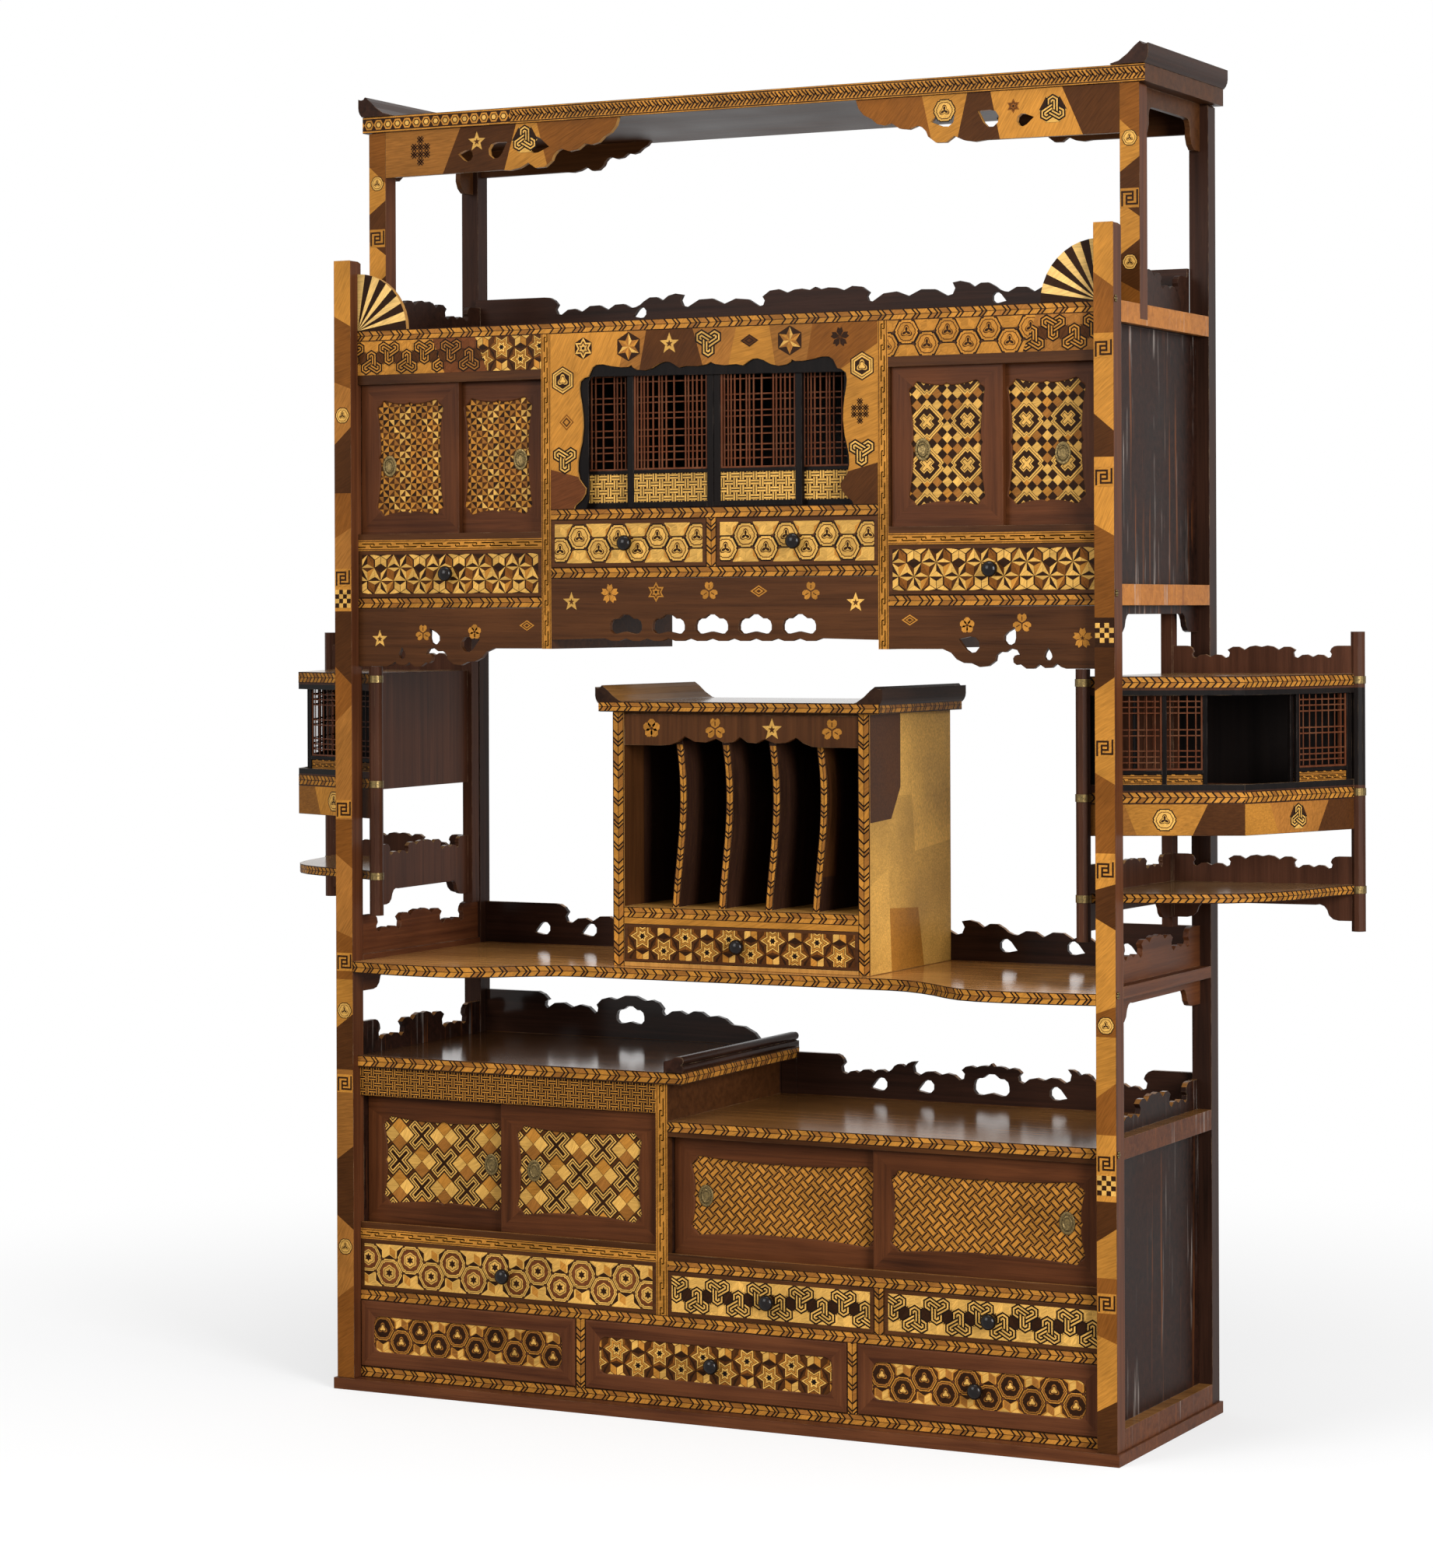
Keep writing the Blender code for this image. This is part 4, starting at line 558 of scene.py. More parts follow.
def field(chips, pitch, area, seed=1, turn=0.0, shift=0.0, rise=0.0):
    """A cell of chips repeated over an area (metres) and cut at its edges; one row if the pitch has no V."""
    u0, u1, v0, v1 = area
    wide, high = (u1 - u0) / MM, (v1 - v0) / MM
    c, s = abs(math.cos(math.radians(turn))), abs(math.sin(math.radians(turn)))
    columns = math.ceil((wide * c + high * s) / pitch[0]) // 2 * 2 + 3
    rows = math.ceil((wide * s + high * c) / pitch[1]) // 2 * 2 + 3 if pitch[1] else 1
    bm = repeated(chips, columns, rows, pitch, seed)
    bmesh.ops.translate(bm, verts=bm.verts, vec=(shift * MM, rise * MM, 0))
    middle = Matrix.Translation(((u0 + u1) / 2, (v0 + v1) / 2, 0))
    bm.transform(middle @ Matrix.Rotation(math.radians(turn), 4, "Z"))
    for point, normal in (((u0, 0, 0), (-1, 0, 0)), ((u1, 0, 0), (1, 0, 0)), ((0, v0, 0), (0, -1, 0)),
                          ((0, v1, 0), (0, 1, 0))):
        cut(bm, point, normal, True)
    return bm


def at_spot(bm, u, v):
    bmesh.ops.translate(bm, verts=bm.verts, vec=(u, v, 0))
    return bm


def lay(bm, across, level, layer=0):
    """Turns (u, v, height) into the cabinet's frame: u along across, v up, height out of the face."""
    bmesh.ops.translate(bm, verts=bm.verts, vec=(0, 0, level + layer * LIFT))
    bm.transform(Matrix((across, UP, across.cross(UP))).transposed().to_4x4())
    return bm


def pour(bm, target):
    """Adds one bmesh to another and frees it."""
    mesh = bpy.data.meshes.new("patch")
    bm.to_mesh(mesh)
    bm.free()
    target.from_mesh(mesh)
    bpy.data.meshes.remove(mesh)


SHEETS = {}


def glue(sheet, bm, body="cabinet"):
    """Adds a patch to one named sheet of veneer that rides on a body."""
    pour(bm, SHEETS.setdefault((sheet, body), bmesh.new()))


def cover(sheet, cell, area, across, level, seed, turn=0.0, shift=0.0, body="cabinet"):
    """Covers an area of one side with a repeated cell, which is (chips, pitch)."""
    glue(sheet, lay(field(*cell, area, seed, turn, shift), across, level), body)


def inlay(sheet, motifs, level, seed, layer=0, across=FRONT):
    """Sets single motifs, (chips, u, v) with u and v in metres, into one side."""
    for number, (chips, u, v) in enumerate(motifs):
        motif = at_spot(repeated(chips, 1, 1, (100, 100), seed + number), u, v)
        glue(sheet, lay(motif, across, level, layer))


def piece(name, body, bm, materials, stands_for=(), smooth=False):
    obj = as_object(bm, name)
    bpy.context.collection.objects.link(obj)
    for material in materials:
        obj.data.materials.append(material)
    if smooth:
        obj.data.shade_smooth()
    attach(obj, body)
    if stands_for:
        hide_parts(*stands_for)
    return obj


# %% [markdown]
# ## Patterns
# The patterns are traditional ones. Most drawers carry a zigzag of hexagon cells with a motif in each, and
# "books" of two lozenges in the cells between. Edges carry a banding of slanted strokes in two rows that
# meet in arrow heads; the strokes stand close and wide in turn.

# %% Motifs in a hexagon
def inset(points, gap):
    """A polygon drawn in by a gap on every side."""
    corners = [Vector(p) for p in leftward(points)]
    drawn = []
    for i, here in enumerate(corners):
        first = (here - corners[i - 1]).normalized()
        second = (corners[(i + 1) % len(corners)] - here).normalized()
        n1, n2 = Vector((-first.y, first.x)), Vector((-second.y, second.x))
        drawn.append(tuple(here + (n1 + n2) * (gap / max(0.3, 1 + n1.dot(n2)))))
    return drawn


def lined(parts, layer=0, gap=0.32):
    """Pieces with a thin saw line round each, over a dark ground that shows in the lines."""
    return [(inset(points, gap), tone, layer) for points, tone in parts]


def notched(size, share=0.13):
    """A hexagon with a small step cut out of each corner."""
    ring, points = ngon(size, 6), []
    for i, (u, v) in enumerate(ring):
        for far_u, far_v in (ring[i - 1], (0, 0), ring[(i + 1) % 6]):
            points.append((u + (far_u - u) * share, v + (far_v - v) * share))
    return points


def lobed(size, lobes, depth, steps=24):
    points = []
    for u, v in ngon(size, steps):
        wave = 1 - depth + depth * math.cos(lobes * (math.atan2(v, u) - math.pi / 2))
        points.append((u * wave, v * wave))
    return points


def book(size, leaves, foot, flank, ground):
    """The cell beyond the zigzag: an open book of two lozenges on a triangle, its foot on the low edge."""
    r, h = size, size * 0.866
    low, tip, side, top = -h, -h + 0.26 * r, -h + 0.52 * r, -h + 0.78 * r
    parts = [([(-0.45 * r, low), (0.45 * r, low), (0, tip)], foot),
             ([(-0.45 * r, low), (0, tip), (0, top), (-0.45 * r, side)], leaves[0]),
             ([(0.45 * r, low), (0.45 * r, side), (0, top), (0, tip)], leaves[1])]
    for sign in (-1, 1):
        parts += [([(sign * 0.52 * r, low), (sign * 0.94 * r, -0.06 * r), (sign * 0.52 * r, side)], flank),
                  ([(sign * 0.45 * r, side), (sign * 0.94 * r, 0.06 * r), (sign * 0.02 * r, top)], leaves[0])]
    return [(ngon(r, 6), "umber", 0), (ngon(r * 0.97, 6), ground, 0.5)] + lined(parts, 1, 0.4)


def flower(size, light="pale"):
    chips = nested(notched(size), (1, "ink"), (0.90, light), (0.74, "brown"), (0.67, light))
    chips += over(nested(lobed(size * 0.46, 3, 0.24), (1, "brown"), (0.80, light)), 4)
    return chips + [(lobed(size * 0.33, 3, 0.42), "umber", 6)]


def dark_flower(size):
    chips = nested(notched(size), (1, "ink"), (0.95, "honey"), (0.86, "umber"), (0.81, "tan"),
                   (0.71, "umber"))
    return chips + over(nested(lobed(size * 0.40, 3, 0.26), (1, "tan"), (0.78, "umber"), (0.58, "pale")), 5)


def star_cell(size):
    ring, dips = ngon(size, 6), ngon(size * 0.72, 6, 30)
    parts = []
    for i in range(6):
        tone, after = ("amber", "brown")[i % 2], ring[(i + 1) % 6]
        parts += [([(0, 0), ring[i], dips[i]], tone), ([(0, 0), dips[i], after], tone),
                  ([ring[i], after, dips[i]], "umber" if i % 2 else "brown")]
    points = nested(star(size * 0.90, 6, 0.57, 0), (1, "ink"), (0.94, "pale"), (0.77, "umber"),
                    (0.70, "honey"), (0.53, "umber"), (0.46, "pale"), (0.25, "ink"))
    return [(ring, "umber", 0)] + lined(parts, 1, 0.25) + over(points, 2)


def ray_cell(size):
    """A star of six long lozenges, each half light and half dark, with darker pieces between its points."""
    ring, dips = ngon(size, 6), ngon(size * 0.52, 6, 30)
    parts = []
    for i, between in enumerate(("amber", "umber", "pale", "amber", "pale", "honey")):
        after, before = dips[i], dips[i - 1]
        parts += [([(0, 0), ring[i], after], "pale"),
                  ([(0, 0), before, ring[i]], "umber" if i % 2 else "brown"),
                  ([ring[i], ring[(i + 1) % 6], after], between)]
    return [(ring, "umber", 0)] + lined(parts, 1, 0.16)


def rosette(size):
    chips = nested(notched(size), (1, "ink"), (0.965, "pale"), (0.885, "umber"), (0.85, "pale"),
                   (0.765, "umber"), (0.735, "red"))
    chips += over(nested(lobed(size * 0.50, 6, 0.08), (1, "pale"), (0.84, "umber"), (0.75, "pale")), 7)
    return chips + [(star(size * 0.26, 6, 0.56), "umber", 10)]


def ribbon(points, width):
    """Four-sided pieces of one band along a bent line."""
    spots = [Vector(p) for p in points]
    ways = [(b - a).normalized() for a, b in zip(spots, spots[1:])]
    sides = []
    for i, spot in enumerate(spots):
        first, second = ways[max(0, i - 1)], ways[min(len(ways) - 1, i)]
        n1, n2 = Vector((-first.y, first.x)), Vector((-second.y, second.x))
        out = (n1 + n2) * (width / 2 / (1 + n1.dot(n2)))
        sides.append((tuple(spot + out), tuple(spot - out)))
    return [[a[0], a[1], b[1], b[0]] for a, b in zip(sides, sides[1:])]


HOOK = ((0, -0.181), (0.573, -0.181), (0.678, 0), (0.573, 0.181), (0.4, 0.181))


def knot(size, turn=90.0, ground="pale", dark="umber", line="pale", cell=True):
    """Three bands bent back on themselves that hold each other, in a hexagon of six triangles."""
    chips = []
    if cell:
        ring = ngon(size, 6)
        shadowed = (0, 2) if turn == 90.0 else (3, 5)
        parts = [([(0, 0), ring[i], ring[(i + 1) % 6]], dark if i in shadowed else ground) for i in range(6)]
        chips = [(ring, "umber", 0)] + lined(parts, 1, 0.2)
    wide, thin, middle = 0.4075, 0.0455, 0.181

    def start(v):
        return 0.0525 + 0.577 * v, v

    def end(v):
        return 0.4705 - 0.577 * v, v

    shape = [start(-wide), (0.704, -wide), (0.94, 0), (0.704, wide), end(wide), end(thin), start(thin)]
    arm = [(shape, "ink", 2)]
    for half, tone, level in ((0.136, line, 3), (thin, "ink", 4)):
        quads = ribbon(HOOK, 2 * half)
        quads[0][:2] = [start(half - middle), start(-half - middle)]
        quads[-1][2:] = [end(middle + half), end(middle - half)]
        arm += [(quad, tone, level) for quad in quads]
    for number in range(3):
        chips += moved(arm, 0, 0, turn + 120 * number, size * 1.12)
    return chips


def zigzag(size, high, low, rest):
    """A strip of hexagon cells: high and low motifs by turns, rest in the cells beyond."""
    q, step = math.sqrt(3) * size / 4, 1.5 * size
    chips = moved(high, -step / 2, q) + moved(rest, -step / 2, -3 * q, 180)
    chips += moved(low, step / 2, -q) + moved(rest, step / 2, 3 * q)
    return chips, (2 * step, None)


# %% Bandings and all-over patterns
WAVES = (20, 13, 6, 17, 9, 5.5, 14, 12, 6, 18, 10, 5.5, 13, 15, 6.5, 11)
EVEN = (10, 10, 10, 10)
STROKE_WOODS = ("honey", "tan", "honey", "honey", "tan", "honey", "honey", "honey", "tan")


def arrows(high, gaps=WAVES, stroke=2.7):
    half, lean, at, chips = high / 2, high * 0.45, 0.0, []
    for i, gap in enumerate(gaps):
        for side in (half, -half):
            tone = STROKE_WOODS[(i * 2 + (side > 0)) % 9]
            for width, wood_name, layer in ((gap, tone, 0), (stroke, "ink", 1)):
                points = [(at, side), (at + width, side), (at + width + lean, 0), (at + lean, 0)]
                chips.append((points, wood_name, layer))
        at += gap
    chips.append((rect(lean, at + lean, -0.4, 0.4), "umber", 2))
    for side in (-1, 1):
        chips.append((rect(0, at, side * (half - 0.5) - 0.5, side * (half - 0.5) + 0.5), "umber", 2))
    return moved(chips, -(at + lean) / 2, 0), (at, None)


def key_fret(high):
    """Long dashes in two rows, each with a short foot at one end that locks into the next."""
    t, p = 0.75, high * 1.9
    a, b = high * 0.15, high * 0.38
    chips = [(rect(-p / 2, p / 2, -high / 2, high / 2), "honey", 0)]
    for side in (1, -1):
        low, top = sorted((side * a, -side * a * 0.2))
        for shift in (-p, 0.0, p):
            mid = shift + side * p * 0.25
            foot = mid + side * p * 0.36
            chips.append((rect(mid - p * 0.36, mid + p * 0.36, side * a - t, side * a + t), "umber", 1))
            chips.append((rect(foot - t, foot + t, low, top), "umber", 1))
        chips.append((rect(-p / 2, p / 2, side * b - t * 0.7, side * b + t * 0.7), "brown", 1))
    return chips, (p, None)


def woven_squares(cell, ground, reach, *bars):
    """Bars, (low, high, wood, layer) in shares of a cell, across in one square and upright in the next."""
    chips = [(rect(-cell, cell, -cell, cell), ground, 0)]
    block = [(rect(-cell * reach, cell * reach, cell * low, cell * high), tone, layer)
             for low, high, tone, layer in bars]
    for u, v, turn in ((-0.5, 0.5, 0), (0.5, -0.5, 0), (0.5, 0.5, 90), (-0.5, -0.5, 90)):
        chips += moved(block, u * cell, v * cell, turn)
    return chips, (2 * cell, 2 * cell)


def weave(cell, bar, thick):
    """Pairs of thin bars over a shadow strip."""
    pair = [(k - thick, k + thick, bar, 2) for k in (-0.2, 0.2)]
    return woven_squares(cell, "umber", 0.62, (-0.36, 0.36, "ink", 1), *pair)


def basket(cell):
    """A wide bar between two dark lines."""
    return woven_squares(cell, "tan", 0.5, (-0.41, 0.41, "ink", 1), (-0.25, 0.25, "honey", 2))


def pinwheels(side, count=6):
    """Squares cut corner to corner, turned so that eight points meet; every half has its own wood."""
    chips, chance, h = [], random.Random(8), side / 2
    for i in range(count):
        for j in range(count):
            turn = {(0, 0): 0, (1, 0): 90, (1, 1): 180, (0, 1): 270}[i % 2, j % 2]
            light = chance.choice(("honey", "honey", "honey", "pale", "tan", "tan"))
            dark = chance.choice(("brown", "brown", "umber"))
            halves = [([(-h, -h), (h, -h), (h, h)], light, 0), ([(-h, -h), (h, h), (-h, h)], dark, 0)]
            chips += moved(halves, (i + 0.5 - count / 2) * side, (j + 0.5 - count / 2) * side, turn)
    return chips, (count * side, count * side)


def diamond(size):
    return [(size, 0), (0, size), (-size, 0), (0, -size)]


def plus_sign(half, out):
    return [(half, half), (half, out), (-half, out), (-half, half), (-out, half), (-out, -half),
            (-half, -half), (-half, -out), (half, -out), (half, -half), (out, -half), (out, half)]


def medallions(pitch=59.2, count=4):
    """A checker of diamonds; over it, diamonds of double lines with notched corners and a flower in each."""
    d = pitch / count
    chips = [(rect(-pitch / 2, pitch / 2, -pitch / 2, pitch / 2), "umber", 0)]
    for i in range(count):
        for j in range(count):
            tone = ("pale", "honey", "pale", "pale", "tan")[(3 * i + 2 * j) % 5]
            chips += moved([(diamond(d / 2), tone, 1)], i * d - pitch / 2, (j + 0.5) * d - pitch / 2)
    corner = [(3.9, 24.7), (24.7, 3.9), (20.8, 0)]
    ring = [spot for k in range(4) for spot in moved([(corner, "", 0)], 0, 0, -90 * k)[0][0]]
    chips += over(nested(ring, (1, "pale"), (0.90, "ink"), (0.86, "pale"), (0.76, "umber")), 2)
    flowers = [(plus_sign(4.4, 10.8), "pale", 6), (plus_sign(2.9, 9.3), "umber", 7),
               (plus_sign(2.0, 8.4), "pale", 8)]
    return chips + moved(flowers, 0, 0, 45), (pitch, pitch)


def crosses(pitch=53.0):
    """Plus signs of nested lines that touch at their ends, with four small squares in each gap."""
    h, off, half_side = pitch / 2, 8.6, 8.3
    chips = [(rect(-h, h, -h, h), "brown", 0)]
    for u in (-h, h):
        for v in (-h, h):
            for du, dv, tone in ((-1, -1, "tan"), (1, -1, "pale"), (1, 1, "honey"), (-1, 1, "pale")):
                a, b = u + du * off, v + dv * off
                if abs(a) < h and abs(b) < h:
                    chips.append((rect(a - half_side, a + half_side, b - half_side, b + half_side), tone, 1))
    lines = ((8.7, "ink"), (7.3, "pale"), (5.6, "ink"), (4.1, "pale"), (2.3, "umber"))
    for level, (half, tone) in enumerate(lines):
        chips.append((plus_sign(half, 15.9 + half), tone, 2 + level))
    return chips, (pitch, pitch)


def plait(high):
    """A braid: dark saw lines slant from both edges of a light strip and pass each other in the middle."""
    p, run = 11.7, 7.4
    chips = [(rect(-p / 2, p / 2, -high / 2, high / 2), "honey", 0)]
    for side in (-1, 1):
        for k in range(4):
            u = (k / 2 - 1) * p + (p / 4 if side > 0 else 0)
            line = ribbon(((u, side * high * 0.33), (u + run, -side * high * (0.10 if k % 2 else 0.0))), 2.3)
            chips += [(quad, "umber", 1) for quad in line if abs(u + run / 2) <= p / 2]
        chips.append((rect(-p / 2, p / 2, side * high * 0.405 - 0.8, side * high * 0.405 + 0.8), "umber", 1))
    return chips, (p, None)


def hexagon_chain(high):
    r = high * 0.36
    chips = [(rect(-r, r, -high / 2, high / 2), "umber", 0)]
    chips += over(nested(ngon(r, 6), (1, "honey"), (0.66, "umber"), (0.46, "pale")), 1)
    for edge in (-1, 1):
        chips.append((rect(-r, r, edge * high * 0.44 - 1.0, edge * high * 0.44 + 1.0), "honey", 1))
    return chips, (2.0 * r, None)


print("patterns ready")

# %% [markdown]
# ## Bands on the edges
# A band needs to know where the edge of its board lies. It is read from the model: of all faces of a node
# that look the right way, between two heights, the outermost one gives the level and the ends.

# %% Find an edge and lay a band on it
def faces_towards(node, across, cosine):
    """The corners of each face of a node that looks out of a side."""
    out = across.cross(UP)
    mesh, place = NODES[node].data, NODES[node].matrix_world
    for face in mesh.polygons:
        if (place.to_3x3() @ face.normal).dot(out) > cosine:
            yield [place @ mesh.vertices[i].co for i in face.vertices]


def edge_of(node, across, v0, v1, u_low=-9.0, u_high=9.0):
    """(u0, u1, level) of the outermost faces of a node between two heights that look out of a side."""
    out = across.cross(UP)
    found = []
    for corners in faces_towards(node, across, 0.985):
        middle = sum(corners, Vector()) / len(corners)
        if v0 - 1e-4 < middle.z < v1 + 1e-4 and u_low < middle.dot(across) < u_high:
            found.append((max(c.dot(out) for c in corners), corners))
    level = max(f[0] for f in found)
    ends = [c.dot(across) for high, corners in found if high > level - 0.002 for c in corners]
    return min(ends), max(ends), level


def band(sheet, area, across, level, seed, gaps=WAVES, upright=False, shift=0.0):
    """A banding of strokes along an edge."""
    u0, u1, v0, v1 = area
    high = u1 - u0 if upright else v1 - v0
    cover(sheet, arrows(high / MM, gaps), area, across, level, seed, -90 if upright else 0, shift)


# the front of the cases, half the width between the posts, the upper columns and the lower step, in metres
CASE = 0.1740
WALL, COLUMN_IN, COLUMN_OUT = 0.5717, 0.2530, 0.2680
STEP_LEFT, STEP_RIGHT = -0.0897, -0.0717


def front_sheet(area):
    """The bands of the upper and of the lower case are two sheets."""
    return "upper_bands" if area[2] > 1.0 else "lower_bands"


RAILS = ((-WALL, WALL, 1.509, 1.524), (-WALL, -COLUMN_OUT, 1.124, 1.139), (COLUMN_OUT, WALL, 1.124, 1.139),
         (-COLUMN_IN, COLUMN_IN, 1.165, 1.180), (-COLUMN_IN, COLUMN_IN, 1.247, 1.262),
         (-WALL, WALL, 0.0163, 0.0313), (-WALL, WALL, 0.1273, 0.1423), (STEP_RIGHT, WALL, 0.2043, 0.2193),
         (STEP_RIGHT, WALL, 0.3963, 0.4113))
for seed, area in enumerate(RAILS):
    band(front_sheet(area), area, FRONT, CASE, seed, shift=seed * 23.0)
DIVIDERS = ((-0.0078, 0.0078, 1.180, 1.247), (-0.2174, -0.2024, 0.0313, 0.1273),
            (0.2024, 0.2174, 0.0313, 0.1273), (0.2425, 0.2575, 0.1423, 0.2043))
for seed, area in enumerate(DIVIDERS):
    band(front_sheet(area), area, FRONT, CASE, 40 + seed, upright=True)
FRETS = ((-WALL, -COLUMN_OUT, 1.207, 1.222), (COLUMN_OUT, WALL, 1.207, 1.222),
         (-WALL, STEP_LEFT, 0.2153, 0.2303), (-COLUMN_OUT, -COLUMN_IN, 1.066, 1.509),
         (COLUMN_IN, COLUMN_OUT, 1.066, 1.509), (STEP_LEFT, STEP_RIGHT, 0.1423, 0.4633))
for area in FRETS:
    wide, high = area[1] - area[0], area[3] - area[2]
    fret = key_fret(min(wide, high) / MM)
    cover(front_sheet(area), fret, area, FRONT, CASE, 7, -90 if high > wide else 0)
left_top = edge_of("lower_left_top", FRONT, 0.4633, 0.4801)
left_end = edge_of("lower_left_top", RIGHT, 0.4633, 0.4801, -0.18, 0.19)
for across, (u0, u1, level), seed in ((FRONT, left_top, 12), (RIGHT, left_end, 13)):
    band("lower_bands", (u0, u1, 0.4640, 0.4797), across, level, seed)
cover("lower_bands", weave(9.0, "honey", 0.085), (-WALL, STEP_LEFT, 0.4223, 0.4633), FRONT, CASE, 3)
top_edge = edge_of("top_shelf", FRONT, 1.819, 1.8425)
TOP_HIGH, TOP_JOINT = 22.5, -0.36
for make, u0, u1 in ((hexagon_chain, top_edge[0], TOP_JOINT), (plait, TOP_JOINT, top_edge[1])):
    cover("top_bands", make(TOP_HIGH), (u0, u1, 1.8195, 1.8420), FRONT, top_edge[2], 5)
print("edges", [tuple(round(v, 4) for v in e) for e in (left_top, left_end, top_edge)])

# %% [markdown]
# The middle shelf has a serpentine front, so its band is laid flat along the length of the curve first and
# then bent: every point keeps its height, and its length along the band becomes a place on the curve.

# %% Band on the serpentine shelf
def curl(bm, path):
    """Bends a flat band along a path of (x, y) points; the chips are cut at the bends first."""
    marks, outs = [0.0], []
    for a, b in zip(path, path[1:]):
        way = Vector(b) - Vector(a)
        marks.append(marks[-1] + way.length)
        outs.append(Vector((way.y, -way.x)).normalized())
    for mark in marks[1:-1]:
        cut(bm, (mark, 0, 0), (1, 0, 0))
    for vert in bm.verts:
        s, v, w = vert.co
        i = max(0, min(len(path) - 2, sum(1 for m in marks if m <= s + 1e-7) - 1))
        share = (s - marks[i]) / (marks[i + 1] - marks[i])
        spot = Vector(path[i]).lerp(Vector(path[i + 1]), share) + outs[i] * w
        vert.co = (spot.x, spot.y, v)
    return bm


def length_of(path):
    return sum((Vector(b) - Vector(a)).length for a, b in zip(path, path[1:]))


def shelf_edge():
    """(x, y) points of the front edge: a hollow bay in the middle, then a bulge towards each end."""
    bay, far, deep, swell = 0.240, -0.193, 0.078, 0.016
    half = []
    for i in range(13):
        share = i / 12
        dip = deep * (0.5 + 0.5 * math.cos(math.pi * min(1.0, share / 0.5)))
        bulge = swell * math.sin(math.pi * max(0.0, (share - 0.25) / 0.75))
        half.append((bay + (WALL - bay) * share, dip - bulge + far))
    return [(-x, y) for x, y in reversed(half)] + half


path = shelf_edge()
glue("middle_bands", curl(field(*arrows(15.6), (0, length_of(path), 0.6003, 0.6159), 21), path))
print("shelf edge", round(length_of(path), 3), "m")

# %% [markdown]
# ## Friezes and drawer fronts
# Each drawer front is a dark board with one strip of hexagon marquetry let into it. The two friezes change
# their pattern along the way, with a slanted joint where one veneer ends and the next begins.

# %% Drawer veneers
def spread(node):
    """A node's box seen from the front: (x low, x high, z low, z high) at rest."""
    low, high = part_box(node)
    return low[0], high[0], low[2], high[2]


def shrunk(area, by):
    return area[0] + by, area[1] - by, area[2] + by, area[3] - by


# the motif of each strip and the woods of the books beyond it
CELLS = {"star": (star_cell, ("pale", "honey"), "umber", "brown", "brown"),
         "ray": (ray_cell, ("pale", "pale"), "umber", "amber", "umber"),
         "rosette": (rosette, ("pale", "honey"), "umber", "umber", "pale"),
         "dark_flower": (dark_flower, ("pale", "tan"), "umber", "brown", "honey")}


def strip(kind, size, **extra):
    """The cell of a strip by the name of its motif."""
    if kind == "knot":
        ground = extra.get("ground", "pale")
        rest = book(size, (ground, ground), ground, ground, ground)
        return zigzag(size, knot(size, 270.0, **extra), knot(size, 90.0, **extra), rest)
    if kind == "flower":
        light = extra.get("light", "pale")
        rest = book(size, (light, light), light, "honey", light)
        return zigzag(size, flower(size, light), flower(size, light), rest)
    make, *woods = CELLS[kind]
    return zigzag(size, make(size), make(size), book(size, *woods))


FACE, MARGIN = 0.1737, 0.0055
DRAWERS = {"upper_left_drawer": ("ray", 21.8), "upper_right_drawer": ("ray", 21.8),
           "centre_drawer_left": ("flower", 20.6), "centre_drawer_right": ("flower", 20.6),
           "lower_left_drawer": ("rosette", 23.4), "lower_right_drawer_a": ("knot", 21.3),
           "lower_right_drawer_b": ("knot", 21.3)}
for seed, (node, cell) in enumerate(DRAWERS.items()):
    cover(node + "_veneer", strip(*cell), shrunk(spread(node), MARGIN), FRONT, FACE, 60 + seed, body=node)
u0, u1, v0, v1 = spread("kiosk_drawer")
kiosk_face = edge_of("kiosk_drawer", FRONT, v0, v1, -0.17, -0.05)[2]
area = (u0 + 0.005, u1 - 0.005, v0 + 0.004, v1 - 0.004)
cover("kiosk_drawer_veneer", strip("star", 22.8), area, FRONT, kiosk_face, 70, body="kiosk_drawer")
print("drawer veneers", len(DRAWERS) + 1)


# %% Friezes
def slanted(bm, u, v, lean, keep):
    """Keeps the part of a flat sheet on one side (-1 left, 1 right) of a slanted line."""
    normal = Vector((math.cos(math.radians(lean)), math.sin(math.radians(lean)), 0)) * -keep
    cut(bm, (u, v, 0), normal, True)
    return bm


FRIEZE_LOW, FRIEZE_HIGH, FRIEZE_MIDDLE = 1.4600, 1.5085, 1.484
OVERLAP, LEAN = 0.012, 22
FRIEZES = (("knot", 19.8, {"ground": "honey", "dark": "brown", "line": "honey"}, -WALL, -0.436),
           ("knot", 19.8, {"ground": "red", "dark": "brown", "line": "tan"}, -0.436, -0.365),
           ("star", 20.5, {}, -0.365, -COLUMN_OUT), ("flower", 20, {"light": "honey"}, COLUMN_OUT, 0.4736),
           ("knot", 20, {"ground": "tan", "dark": "brown", "line": "honey"}, 0.4736, WALL))
for kind, size, extra, u0, u1 in FRIEZES:
    area = (u0 - OVERLAP, u1 + OVERLAP, FRIEZE_LOW, FRIEZE_HIGH)
    veneer = field(*strip(kind, size, **extra), area, 80)
    for edge, keep in ((u0, 1), (u1, -1)):
        joint = LEAN if u0 < 0 else -LEAN
        slanted(veneer, edge, FRIEZE_MIDDLE, 0 if abs(edge) in (WALL, COLUMN_OUT) else joint, keep)
    glue("upper_bands", lay(veneer, FRONT, CASE))
print("friezes laid")

# %% [markdown]
# ## Knobs
# The knobs are turned from ebony. A turned shape is a profile swept round an axis, so a short list of
# (distance ahead, radius) pairs is enough.

# %% Turned knobs
EBONY = wood("ebony", (0.003, 0.002, 0.002), (0.008, 0.005, 0.004), grain="y", rough=0.13, worn=0.08,
             shine=0.2)


